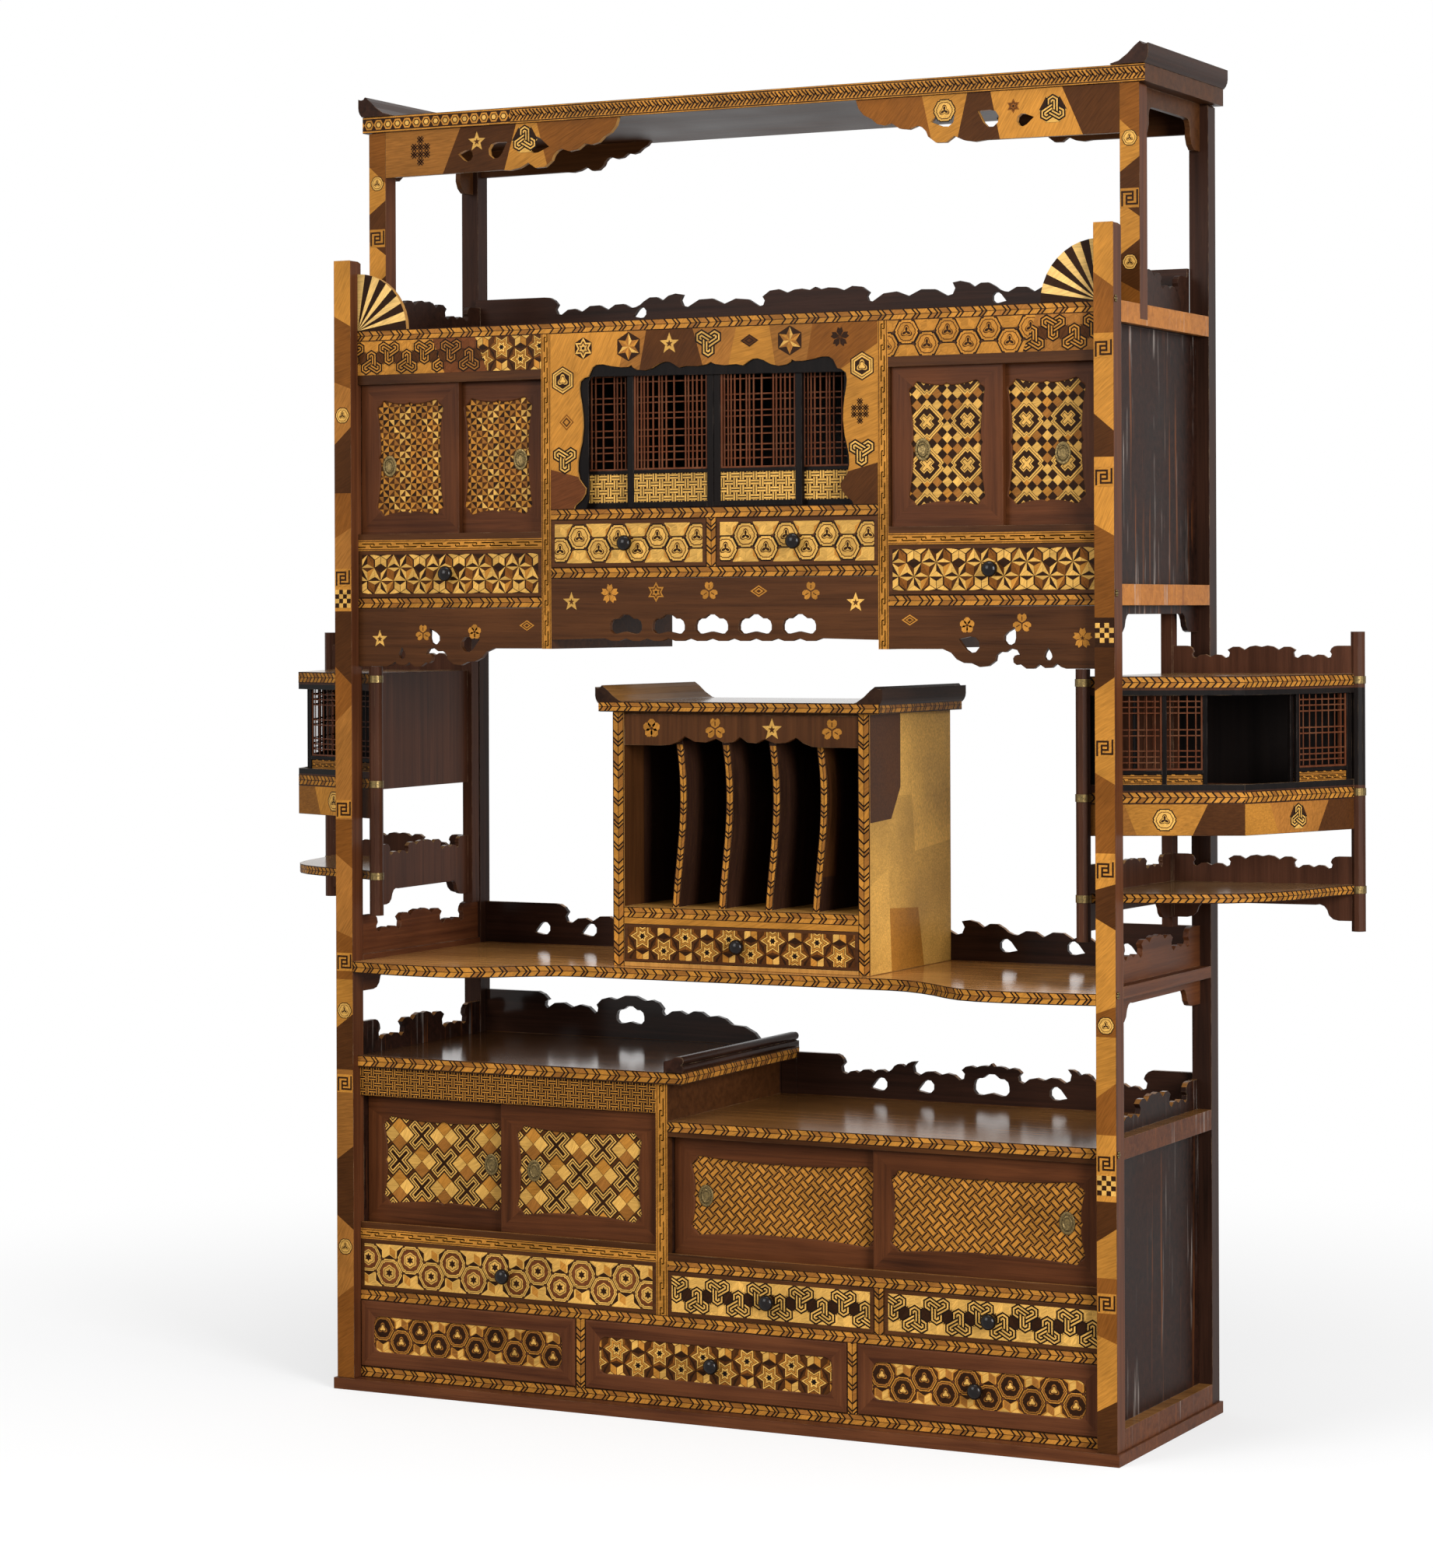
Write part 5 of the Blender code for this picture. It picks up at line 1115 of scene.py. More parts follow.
def tube(rings):
    """Faces between rings of points that have the same count; the first and the last ring are closed."""
    bm = bmesh.new()
    levels = [[bm.verts.new(spot) for spot in ring] for ring in rings]
    for low, high in zip(levels, levels[1:]):
        for i in range(len(low)):
            j = (i + 1) % len(low)
            bm.faces.new((low[i], low[j], high[j], high[i]))
    bm.faces.new(levels[0][::-1])
    bm.faces.new(levels[-1])
    return bm


def turned(profile, steps=24):
    """A profile of (ahead, radius) pairs in mm swept round the height axis."""
    return tube([[(u * MM, v * MM, h * MM) for u, v in ngon(r, steps)] for h, r in profile])


def points_of(node):
    return [NODES[node].matrix_world @ v.co for v in NODES[node].data.vertices]


KNOB = ((0, 5.7), (4.6, 5.7), (6.0, 7.4), (7.6, 9.6), (9.6, 10.8), (12, 11.0), (14.4, 10.6), (16.4, 9.0),
        (18.0, 6.4), (18.9, 3.6), (19.3, 1.2))
KNOB_NODES = (*DRAWERS, "kiosk_drawer", "bottom_drawer_centre", "bottom_drawer_right")
for node in KNOB_NODES:
    face = kiosk_face if node == "kiosk_drawer" else FACE
    tips = [t for t in points_of(node) if -t.y > face + 0.006]
    u = sum(t.x for t in tips) / len(tips)
    v = sum(t.z for t in tips) / len(tips)
    knob = lay(at_spot(turned(KNOB), u, v), FRONT, face)
    piece(node + "_knob", node, knob, [EBONY], smooth=True)
print("knobs", len(KNOB_NODES))

# %% [markdown]
# ## Doors
# A door is a mitred frame round a veneered panel, and the inner edge of the frame is cut in waves. The frame
# is built from closed rings of points that all have the same count, from the back edge to the panel, with
# faces between one ring and the next. The panel closes the last ring and a back board the first. Each board
# of the frame carries its own grain direction in an attribute, so the grain turns at the mitres.

# %% Mitred frames with a wavy opening
DOOR_WOOD = wood("door_wood", (0.026, 0.008, 0.003), (0.128, 0.040, 0.013), source="grain", rough=0.34,
                 worn=0.25)
DRAWER_WOOD = wood("drawer_frame_wood", *REDDISH, source="grain", rough=0.38, worn=0.25)
EAR, EAR_END, CUSP = 0.0065, 0.0130, 0.0070


def sides_of(area):
    """(start, direction, length, inward direction) of the four sides of a rectangle."""
    corners = [Vector(p) for p in rect(*area)]
    for a, b in zip(corners, corners[1:] + corners[:1]):
        way = (b - a).normalized()
        yield a, way, (b - a).length, Vector((-way.y, way.x))


def cusped(area, shaped):
    """Points round a rectangle; a shaped side has an ear at each end and a cusp in the middle."""
    points = []
    for a, way, length, inward in sides_of(area):
        half = length / 2
        swing = [EAR_END + (half - EAR_END - CUSP) * i / 7 for i in range(1, 7)]
        halves = [EAR, 0.0075, 0.0090, 0.0110, EAR_END] + swing
        halves += [half - d for d in (CUSP, 0.0045, 0.0025, 0.0010, 0.0)]
        for place in halves + [length - d for d in halves[-2:0:-1]]:
            near = min(place, length - place)
            if not shaped:
                points.append(a + way * (length * (place - EAR) / (length - 2 * EAR)))
                continue
            if near < EAR_END:
                depth = EAR * ((EAR_END - near) / EAR) ** 2
            else:
                depth = 0.0060 * (1 - (1 - (near - EAR_END) / (half - EAR_END)) ** 2.2)
            depth -= 0.0030 * max(0.0, 1 - (half - near) / CUSP) ** 1.5
            points.append(a + way * place + inward * depth)
    return points


def mitred(area, seen, inner, back, front, panel, ring):
    """A closed board with a raised mitred frame round a lower panel; seen is the part that no rail covers."""
    small, slope = 0.0006, 0.0009
    drop = ring(shrunk(inner, slope), True)
    outer = ring(area, False)
    rings = [(outer, back), (outer, front - small), (ring(shrunk(area, small), False), front),
             (ring(seen, False), front), (ring(inner, True), front), (drop, front - slope), (drop, panel)]
    bm = tube([[(p.x, p.y, height) for p in points] for points, height in rings])
    grain = bm.loops.layers.float_vector.new("grain")
    total = len(drop)
    for number, face in enumerate(bm.faces):
        upright = len(face.verts) == 4 and 4 * (number % total) // total % 2
        for loop in face.loops:
            x, y, z = loop.vert.co
            loop[grain] = (y, x + 3.0, z) if upright else (x, y, z)
    bmesh.ops.recalc_face_normals(bm, faces=bm.faces)
    return bm


# pattern, its turn, the heights seen between the rails and the heights of the opening
DOORS = {"upper_left": (pinwheels(9.2), 0, (1.236, 1.446), (1.2565, 1.4235)),
         "upper_right": (medallions(), 0, (1.236, 1.446), (1.2580, 1.4265)),
         "lower_left": (crosses(), 45, (0.245, 0.402), (0.2650, 0.3920)),
         "lower_right": (basket(11.5), 45, (0.230, 0.388), (0.2535, 0.3645))}
STILE, PANEL_DEPTH, UNDERLAP = 0.0255, 0.0030, 0.0004
for seed, (stem, ((chips, pitch), turn, seen, opening)) in enumerate(DOORS.items()):
    shift = pitch[0] / 2 if stem == "upper_right" else 0.0
    for node in (stem + "_door_left", stem + "_door_right"):
        low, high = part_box(node)
        back, front, panel = -high[1], -low[1], -low[1] - PANEL_DEPTH
        inner = (low[0] + STILE, high[0] - STILE, *opening)
        open_part = (low[0] + 0.001, high[0] - 0.001, *seen)
        leaf = mitred(spread(node), open_part, inner, back, front, panel, cusped)
        piece(node + "_leaf", node, lay(leaf, FRONT, 0), [DOOR_WOOD], (node,))
        veneer = field(chips, pitch, shrunk(inner, -UNDERLAP), 90 + seed, turn, shift, shift)
        glue(node + "_veneer", lay(veneer, FRONT, panel), node)
print("doors", 2 * len(DOORS))


# %% Bottom drawers
def rounded(area, shaped, radius=0.0120, steps=6):
    """Points round a rectangle with round corners, or with square ones that have the same count."""
    points = []
    for a, way, length, inward in sides_of(area):
        for i in range(2 * steps):
            if not shaped:
                points.append(a + way * length * i / (2 * steps))
                continue
            angle = math.radians(45 + 45 * (i / (steps - 1) if i < steps else (2 * steps - i) / steps))
            near = radius - radius * math.cos(angle)
            place = near if i < steps else length - near
            points.append(a + way * place + inward * (radius - radius * math.sin(angle)))
    return points


BOTTOM_DRAWERS = {"bottom_drawer_left": ("dark_flower", 20.8), "bottom_drawer_centre": ("star", 22.6),
                  "bottom_drawer_right": ("dark_flower", 20.8)}
for seed, (node, cell) in enumerate(BOTTOM_DRAWERS.items()):
    area = shrunk(spread(node), 0.0006)
    inner = shrunk(area, 0.0205)
    front, panel = FACE + 0.0024, FACE + 0.0004
    board = mitred(area, shrunk(area, 0.0010), inner, FACE, front, panel, rounded)
    piece(node + "_frame", node, lay(board, FRONT, 0), [DRAWER_WOOD])
    cover(node + "_veneer", strip(*cell), shrunk(inner, -UNDERLAP), FRONT, panel, 110 + seed, body=node)
print("bottom drawers", len(BOTTOM_DRAWERS))

# %% [markdown]
# ## Lattice screens
# The four screens and the wing panels have a black frame, a thin reddish inner frame and reddish bars, close
# in some places and wide in others, over a light veneered panel at the foot. The bars are one short bar
# repeated by a second Geometry Nodes tree that puts a piece on every point of a list.

# %% Tree that sets a piece on points
def points_tree():
    tree, given = geometry_tree("piece on points", (("Geometry", "Geometry"), ("Piece", "Object"),
                                                    ("Seed", "Int"), ("Material", "Material")))
    copies = copies_of(tree, given["Piece"], given["Geometry"])
    return close_tree(tree, shaded(tree, copies, given["Seed"], "INSTANCE"), given["Material"])


POINTS = points_tree()
BAR_WOOD = wood("bar_wood", (0.060, 0.017, 0.007), (0.165, 0.050, 0.020), grain="z", worn=0.3)
LACQUER = finishes["panel"]


def slab(u0, u1, v0, v1, w0, w1):
    """A board with small chamfers on its front edges."""
    c = min(0.0004, (u1 - u0) / 4, (v1 - v0) / 4)
    return tube([[(u, v, w) for u, v in rect(u0 + k, u1 - k, v0 + k, v1 - k)]
                 for k, w in ((0, w0), (0, w1 - c), (c, w1))])


def on_points(bm, spots, material, seed=1):
    tile = as_object(bm, "bar")
    base = bpy.data.meshes.new("spots")
    base.from_pydata(spots, [], [])
    made = grown(POINTS, {"Piece": tile, "Seed": seed, "Material": material}, base)
    bpy.data.objects.remove(tile)
    return made


def joined(*parts):
    whole = bmesh.new()
    for bm in parts:
        for face in bm.faces:
            face.material_index = 0
        pour(bm, whole)
    return whole


def reach(node, across):
    """A node's box along across, up and out of a side."""
    out = across.cross(UP)
    spots = points_of(node)
    rows = ([s.dot(across) for s in spots], [s.z for s in spots], [s.dot(out) for s in spots])
    return [edge for row in rows for edge in (min(row), max(row))]


SILL, THIN, BAR = 0.0025, 0.0026, 0.0010
FOOT_FRONT, FOOT_BACK, INNER_SET, BAR_SET = 0.0020, 0.0015, 0.0012, 0.0006


def lattice(node, across, stile, foot, uprights, levels, cell, seed):
    """A screen: black frame, reddish inner frame, bars between and a veneered foot panel."""
    u0, u1, v0, v1, w0, w1 = reach(node, across)
    sill, base = v0 + foot, v0 + stile * 0.8
    a0, a1, b0, b1 = u0 + stile, u1 - stile, sill + SILL, v1 - stile
    black = joined(slab(u0, a0, v0, v1, w0, w1), slab(a1, u1, v0, v1, w0, w1), slab(a0, a1, b1, v1, w0, w1),
                   slab(a0, a1, v0, base, w0, w1), slab(a0, a1, sill - SILL, b0, w0, w1),
                   slab(a0, a1, base, sill - SILL, w0 + FOOT_BACK, w1 - FOOT_FRONT))
    piece(node + "_frame", node, lay(black, across, 0), [LACQUER], (node,))
    front, middle, rear = w1 - INNER_SET, (w0 + w1) / 2, w0 + INNER_SET
    c0, c1, d0, d1 = a0 + THIN, a1 - THIN, b0 + THIN, b1 - THIN
    inner = [slab(a0, c0, b0, b1, rear, front), slab(c1, a1, b0, b1, rear, front),
             slab(c0, c1, d1, b1, rear, front), slab(c0, c1, b0, d0, rear, front)]
    upright = slab(-BAR, BAR, d0, d1, middle, front - BAR_SET)
    level = slab(c0, c1, -BAR, BAR, rear + BAR_SET, middle)
    bars = [on_points(upright, [(c0 + (c1 - c0) * s, 0, 0) for s in uprights], BAR_WOOD, seed),
            on_points(level, [(0, d0 + (d1 - d0) * s, 0) for s in levels], BAR_WOOD, seed + 1)]
    piece(node + "_bars", node, lay(joined(*inner, *bars), across, 0), [BAR_WOOD])
    cover(node + "_foot", cell, (a0, a1, base, sill - SILL), across, w1 - FOOT_FRONT, seed, body=node)


UPRIGHTS = tuple(mm / 117 for mm in (3, 9, 14, 20, 29, 39, 44, 51, 64, 83, 88, 95, 102, 110))
LEVELS = tuple(1 - mm / 160 for mm in (14, 25, 30, 44, 52, 71, 78, 91, 98, 112, 120, 133, 140, 150))
cell = weave(10.0, "pale", 0.125)
for number in (1, 2, 3, 4):
    lattice("screen_%d" % number, FRONT, 0.010, 0.050, UPRIGHTS, LEVELS, cell, 120 + number)
print("screens 4")

# %% Wing panels
WING = [Vector(p) for p in ((0.546, -0.169, 0), (0.7375, -0.078, 0), (0.821, 0.1425, 0))]
WING_SIDES = (("right", 1), ("left", -1))
WING_UPRIGHTS = (0.08, 0.22, 0.36, 0.5, 0.64, 0.78, 0.92)
WING_LEVELS = (0.08, 0.16, 0.24, 0.45, 0.53, 0.76, 0.84, 0.92)
FRET_HIGH = 9.0


def wing_fronts(side):
    """The two fronts of a wing as (across, start, end), from left to right seen from outside."""
    corners = [Vector((p.x * side, p.y, 0)) for p in WING]
    if side < 0:
        corners.reverse()
    return [((b - a).normalized(), a, b) for a, b in zip(corners, corners[1:])]


chips, pitch = key_fret(FRET_HIGH)
for label, side in WING_SIDES:
    fronts = wing_fronts(side)
    for number in (1, 2, 3, 4):
        across = fronts[0 if (number < 3) == (side > 0) else 1][0]
        lattice("wing_%s_panel_%d" % (label, number), across, 0.006, 0.024, WING_UPRIGHTS, WING_LEVELS,
                (chips, (pitch[0], FRET_HIGH)), 130 + number)
print("wing panels 8")

# %% [markdown]
# ## Patchwork veneers
# Posts, brackets, fans and the window frame are covered with larger pieces of veneer in several woods, with
# slanted joints. The sheet for an odd shape is taken from the model itself: its faces that look forward are
# copied and merged, cut along the saw lines, coloured piece by piece and given the thickness of a veneer.

# %% Skins
SKIN = 0.0002


def front_faces(node):
    """The faces of a node that look forward, merged, in (u, v, height)."""
    out = FRONT.cross(UP)
    bm = bmesh.new()
    for spots in faces_towards(node, FRONT, 0.97):
        bm.faces.new([bm.verts.new((s.dot(FRONT), s.z, s.dot(out))) for s in spots])
    bmesh.ops.remove_doubles(bm, verts=bm.verts, dist=1e-6)
    return bm


def thickened(bm, height):
    """Flat faces carried along the height axis, so that they close to a board."""
    raised = bmesh.ops.extrude_face_region(bm, geom=bm.faces[:])["geom"]
    corners = [part for part in raised if isinstance(part, bmesh.types.BMVert)]
    bmesh.ops.translate(bm, verts=corners, vec=(0, 0, height))
    bmesh.ops.recalc_face_normals(bm, faces=bm.faces)
    return bm


def skin(sheet, bm, lines, tone_of, seed):
    """Glues flat faces as veneer; lines are ((u, v), (u, v)) saw cuts, tone_of(u, v) is (wood, piece)."""
    tones = bm.faces.layers.float_color.new("wood")
    shades = bm.faces.layers.float.new("shade")
    for (ua, va), (ub, vb) in lines:
        cut(bm, (ua, va, 0), (vb - va, ua - ub, 0))
    chance = random.Random(seed)
    shade = {}
    for face in bm.faces:
        middle = face.calc_center_median()
        tone = tone_of(middle.x, middle.y)
        face[tones] = (*WOODS[tone[0]], 1)
        face[shades] = shade.setdefault(tone, chance.random())
    thickened(bm, SKIN)
    for face in bm.faces:
        if face[tones][3] == 0:
            face[tones] = (*WOODS["brown"], 1)
    glue(sheet, lay(bm, FRONT, 0))


# %% Loose motifs
def plum(size, tone="honey"):
    petals = [(ngon(size * 0.42, 8, 22.5, spot), tone, 0) for spot in ngon(size * 0.5, 5, 90.0)]
    return petals + [(ngon(size * 0.16, 8), "brown", 1)]


def cherry(size, tone="honey"):
    half = ((0.34, 0.55), (0.22, 0.98))
    petal = [(0, 0), *half, (0, 0.82), *((-u, v) for u, v in reversed(half))]
    chips = []
    for i in range(5):
        chips += moved([(petal, tone, 0)], 0, 0, 72 * i, size)
    return chips + [(star(size * 0.3, 5, 0.3), "brown", 1)]


def clover(size, tone="honey"):
    """Three heart-shaped leaves, each with a slit."""
    half = ((0.38, 0.30), (0.52, 0.58), (0.46, 0.88), (0.24, 1.02))
    leaf = [(0, 0.08), *half, (0, 0.84), *((-u, v) for u, v in reversed(half))]
    chips = []
    for turn in (0, 120, 240):
        chips += moved([(leaf, tone, 0), (rect(-0.05, 0.05, 0.30, 0.72), "brown", 1)], 0, 0, turn, size)
    return chips


def five_star(size, tone="pale"):
    return [(star(size, 5, 0.42), tone, 0), (star(size * 0.36, 5, 0.42), "brown", 1)]


def hex_star(size, tone="honey"):
    return nested(star(size, 6, 0.58), (1, tone), (0.72, "brown"), (0.5, tone), (0.2, "ink"))


def ripples(size, tone="honey"):
    return nested([(size, 0), (0, size * 0.62), (-size, 0), (0, -size * 0.62)], (1, tone), (0.76, "brown"),
                  (0.54, tone), (0.30, "brown"))


def woven(size, tone="umber"):
    """Crossing bands in a diamond."""
    chips, steps = [], (-0.6, -0.2, 0.2, 0.6)
    for k in steps:
        for turn in (45, -45):
            for part in steps:
                if (round(k * 5) + round(part * 5) + (turn > 0) * 2) % 4 == 0:
                    bars = [(rect(part - 0.32, part + 0.32, k + d - 0.05, k + d + 0.05), tone, 0)
                            for d in (-0.08, 0.08)]
                    chips += moved(bars, 0, 0, turn, 0.72 * size)
    return chips


def key_block(size):
    """Two squared hooks locked into each other, on a light ground."""
    chips = [(rect(-size, size, -size, size), "honey", 0)]
    path = ((-0.82, -0.85), (-0.82, 0.62), (0.34, 0.62), (0.34, -0.22), (-0.24, -0.22))
    for turn in (0, 180):
        bands = [(quad, "umber", 1 if turn else 2) for quad in ribbon(path, 0.20)]
        chips += moved(bands, 0, 0, turn, size)
    return chips


def checker(size, count=4):
    side = 2 * size / count
    return [(rect(-size + i * side, -size + (i + 1) * side, -size + j * side, -size + (j + 1) * side),
             "pale" if (i + j) % 2 else "umber", 0) for i in range(count) for j in range(count)]


APRON_MOTIFS = (
    (five_star(13), -0.536, 1.080), (clover(12), -0.4634, 1.088), (plum(12), -0.378, 1.090),
    (ripples(12), -0.2925, 1.099), (five_star(14), -0.2204, 1.132), (cherry(14), -0.1593, 1.143),
    (hex_star(14), -0.0862, 1.145), (clover(13), -0.0036, 1.1457), (ripples(13), 0.073, 1.1455),
    (clover(13), 0.152, 1.1445), (five_star(14), 0.2191, 1.1293), (ripples(12), 0.2992, 1.1054),
    (plum(12), 0.3828, 1.0982), (clover(13), 0.4618, 1.1005), (cherry(14), 0.5477, 1.081))
inlay("apron_inlays", APRON_MOTIFS, CASE, 140)
print("apron inlays", len(APRON_MOTIFS))

# %% Posts
RIGHT_POST = (
    (1.625, 1.625, "honey"), (1.560, 1.540, "amber"), (1.480, 1.480, "honey"), (1.375, 1.352, "brown"),
    (1.318, 1.318, "honey"), (1.230, 1.215, "amber"), (1.108, 1.108, "umber"), (1.069, 1.069, "brown"),
    (1.012, 1.030, "honey"), (0.905, 0.890, "amber"), (0.800, 0.800, "honey"), (0.752, 0.760, "brown"),
    (0.715, 0.700, "honey"), (0.590, 0.600, "amber"), (0.560, 0.560, "honey"), (0.480, 0.500, "amber"),
    (0.432, 0.432, "honey"), (0.345, 0.345, "brown"), (0.292, 0.310, "honey"), (0.245, 0.245, "amber"),
    (0.170, 0.160, "honey"), (0.070, 0.085, "brown"))
# painted shade: the left post takes tan and amber where the right post has honey, darker because it stands in
# shade
LEFT_POST_WITH_PAINTED_SHADE = (
    (1.625, 1.625, "honey"), (1.545, 1.530, "amber"), (1.450, 1.440, "tan"), (1.360, 1.385, "brown"),
    (1.290, 1.290, "amber"), (1.225, 1.240, "tan"), (1.180, 1.180, "honey"), (1.120, 1.120, "brown"),
    (1.040, 1.015, "amber"), (0.960, 0.985, "tan"), (0.820, 0.820, "amber"), (0.770, 0.750, "tan"),
    (0.660, 0.650, "amber"), (0.590, 0.590, "honey"), (0.520, 0.540, "brown"), (0.460, 0.460, "tan"),
    (0.330, 0.350, "brown"), (0.250, 0.230, "tan"), (0.130, 0.150, "amber"))
UPPER_POST = ((1.8185, 1.8185, "amber"), (1.770, 1.745, "honey"), (1.700, 1.720, "brown"),
              (1.660, 1.640, "honey"), (1.590, 1.610, "brown"), (1.555, 1.540, "amber"))
RIGHT_BLOCKS = ((key_block, 1.460), (key_block, 1.292), (checker, 1.088), (key_block, 0.938),
                (key_block, 0.778), (flower, 0.575), (key_block, 0.395), (checker, 0.366), (key_block, 0.212))
LEFT_BLOCKS = ((flower, 1.402), (key_block, 1.168), (checker, 1.138), (key_block, 0.835), (key_block, 0.615),
               (flower, 0.545), (key_block, 0.440), (flower, 0.205))
POST_FACE, UPPER_FACE, BLOCK = 0.1930, 0.0960, 13
POST_IN, POST_OUT = 0.5722, 0.5998
POST_FOOT, UPPER_FOOT = 0.0168, 1.5245


def post(side, rows, bottom, motifs, level, seed):
    """Veneers a post with (top at the left, top at the right, wood) rows, and sets motifs over them."""
    u0, u1 = sorted((side * POST_IN, side * POST_OUT))
    chips = []
    for row, after in zip(rows, rows[1:] + ((bottom, bottom, None),)):
        corners = ((u0, row[0]), (u0, after[0]), (u1, after[1]), (u1, row[1]))
        chips.append(([(u / MM, v / MM) for u, v in corners], row[2], 0))
    inlay("post_veneers", [(chips, 0, 0)], level, seed + side)
    inlay("post_veneers", [(motif, (u0 + u1) / 2, v) for motif, v in motifs], level, seed + 10, 3)


for side, rows, blocks in ((1, RIGHT_POST, RIGHT_BLOCKS), (-1, LEFT_POST_WITH_PAINTED_SHADE, LEFT_BLOCKS)):
    post(side, rows, POST_FOOT, [(make(BLOCK), v) for make, v in blocks], POST_FACE, 160)
for side in (1, -1):
    motifs = ((flower(12), 1.745), (key_block(BLOCK), 1.665), (flower(12), 1.580))
    post(side, UPPER_POST, UPPER_FOOT, motifs, UPPER_FACE, 180)
print("posts veneered")

# %% Fans and brackets
FAN_FOOT, FAN_STEP = 1.5243, 9
for label, side in (("left", -1), ("right", 1)):
    corner = (side * WALL, FAN_FOOT)
    rays = [math.radians(FAN_STEP * i) for i in range(1, 10)]
    lines = [(corner, (corner[0] - side * math.cos(a), corner[1] + math.sin(a))) for a in rays]

    def wedge(u, v, corner=corner, side=side):
        angle = math.degrees(math.atan2(v - corner[1], (corner[0] - u) * side))
        number = int(angle // FAN_STEP)
        return ("cream", number) if number % 2 else ("umber", number)

    skin("fan_veneers", front_faces("fan_" + label), lines, wedge, 200)


def lines_at(rows, low, high):
    """Saw cuts from (u low, u high) rows between two heights."""
    return [((a, low), (b, high)) for a, b in rows]


def by_line(rows, tones, low, high):
    """Names the wood of a point by the cuts it lies to the right of."""
    def tone_of(u, v):
        share = (v - low) / (high - low)
        number = sum(1 for a, b in rows if u > a + (b - a) * share)
        return tones[number], number
    return tone_of


BRACKET_HEIGHTS = (1.7525, 1.8187)
for label, rows, tones in (
        ("left", ((-0.475, -0.445), (-0.372, -0.352), (-0.300, -0.318)), ("tan", "brown", "honey", "amber")),
        ("right", ((0.300, 0.285), (0.336, 0.352), (0.400, 0.386), (0.448, 0.470), (0.520, 0.490)),
         ("amber", "honey", "brown", "honey", "honey", "brown"))):
    lines, bracket_tone = lines_at(rows, *BRACKET_HEIGHTS), by_line(rows, tones, *BRACKET_HEIGHTS)
    skin("bracket_veneers", front_faces("top_bracket_" + label), lines, bracket_tone, 210)
BRACKET_MOTIFS = ((woven(26), -0.5122, 1.789), (five_star(15), -0.4173, 1.797), (knot(21), -0.3376, 1.795),
                  (flower(18), 0.3184, 1.797), (hex_star(10, "amber"), 0.4195, 1.797),
                  (knot(20), 0.4767, 1.789))
inlay("bracket_veneers", BRACKET_MOTIFS, UPPER_FACE + SKIN, 220)
print("bracket motifs", len(BRACKET_MOTIFS))

# %% [markdown]
# The window frame is a board cut to a cusped outline and open at the foot, with a black board behind it that
# holds the screens; where the black board shows inside the opening, along the head and the left jamb, it is
# painted shade of the frame. One half of the outline is enough, since the other half mirrors it. A flat
# polygon of the outline is filled with triangles and becomes the board by extrusion; the same polygon becomes
# its veneer.

# %% Window frame
HALF_WINDOW = (
    (0, 1461.8), (6.8, 1458.5), (21, 1456.5), (39, 1457.4), (49.4, 1455.4), (57, 1460.2), (64, 1463.8),
    (72, 1464.3), (81, 1461.7), (92, 1455.8), (104, 1453.1), (115, 1454.5), (121, 1457.5), (124, 1461.4),
    (129, 1458.8), (140, 1458.6), (155, 1460.6), (169, 1463.6), (180, 1463.4), (186.5, 1459.4),
    (190.2, 1452.4), (193, 1447), (199.5, 1445.4), (205.8, 1440.4), (207.2, 1432), (206, 1420), (203.6, 1408),
    (201.8, 1393), (201.2, 1377), (203.6, 1356), (207.2, 1342), (210, 1328), (210.2, 1315), (207.2, 1303.5),
    (200.6, 1295), (196.8, 1290.8), (198.2, 1283), (204.5, 1274.5), (214.5, 1266.8), (216, 1262.4))
WINDOW_HALF, WINDOW_FOOT, WINDOW_HEAD = 0.2527, 1.2623, 1.5087
WINDOW_FRONT, WINDOW_SEAM, WINDOW_BACK = 0.1740, 0.1705, 0.1672


def outline_faces(points, level):
    """A flat polygon in metres, filled with triangles, in (u, v, height)."""
    bm = bmesh.new()
    bm.faces.new([bm.verts.new((u, v, level)) for u, v in points])
    bmesh.ops.recalc_face_normals(bm, faces=bm.faces)
    if bm.faces[:][0].normal.z < 0:
        bmesh.ops.reverse_faces(bm, faces=bm.faces)
    bmesh.ops.triangulate(bm, faces=bm.faces, ngon_method="EAR_CLIP")
    return bm


def board_of(points, back, front):
    return lay(thickened(outline_faces(points, front), back - front), FRONT, 0)


half_opening = [(u * MM, v * MM) for u, v in HALF_WINDOW]
opening = [(-u, v) for u, v in half_opening[:0:-1]] + half_opening
outside = [(-WINDOW_HALF, WINDOW_FOOT), (-WINDOW_HALF, WINDOW_HEAD), (WINDOW_HALF, WINDOW_HEAD),
           (WINDOW_HALF, WINDOW_FOOT)]
WINDOW = outside + opening[::-1]
# the black board behind the frame; the part inside the opening along the head and the left jamb is painted
# shade
SHADOW = outside + [(0.2160, WINDOW_FOOT), (0.2085, 1.30), (0.1995, 1.38), (0.2020, 1.442), (-0.1900, 1.447),
                    (-0.1940, 1.440), (-0.1940, 1.276), (-0.1980, WINDOW_FOOT)]
window_board = board_of(WINDOW, WINDOW_SEAM, WINDOW_FRONT)
piece("window_board", "cabinet", window_board, [finishes["honey"]], ("window_frame",))
piece("window_black_board", "cabinet", board_of(SHADOW, WINDOW_BACK, WINDOW_SEAM), [LACQUER])
HEAD_HEIGHTS, JAMB, JAMB_TOP, JAMB_FOOT = (1.45, 1.51), 0.188, 1.440, 1.318
HEAD_CUTS = ((-0.145, -0.130), (-0.112, -0.100), (-0.010, -0.028), (0.026, 0.040), (0.100, 0.090),
             (0.145, 0.156))
HEAD_TONES = ("honey", "tan", "brown", "tan", "honey", "tan", "amber")
head_tone = by_line(HEAD_CUTS, HEAD_TONES, *HEAD_HEIGHTS)


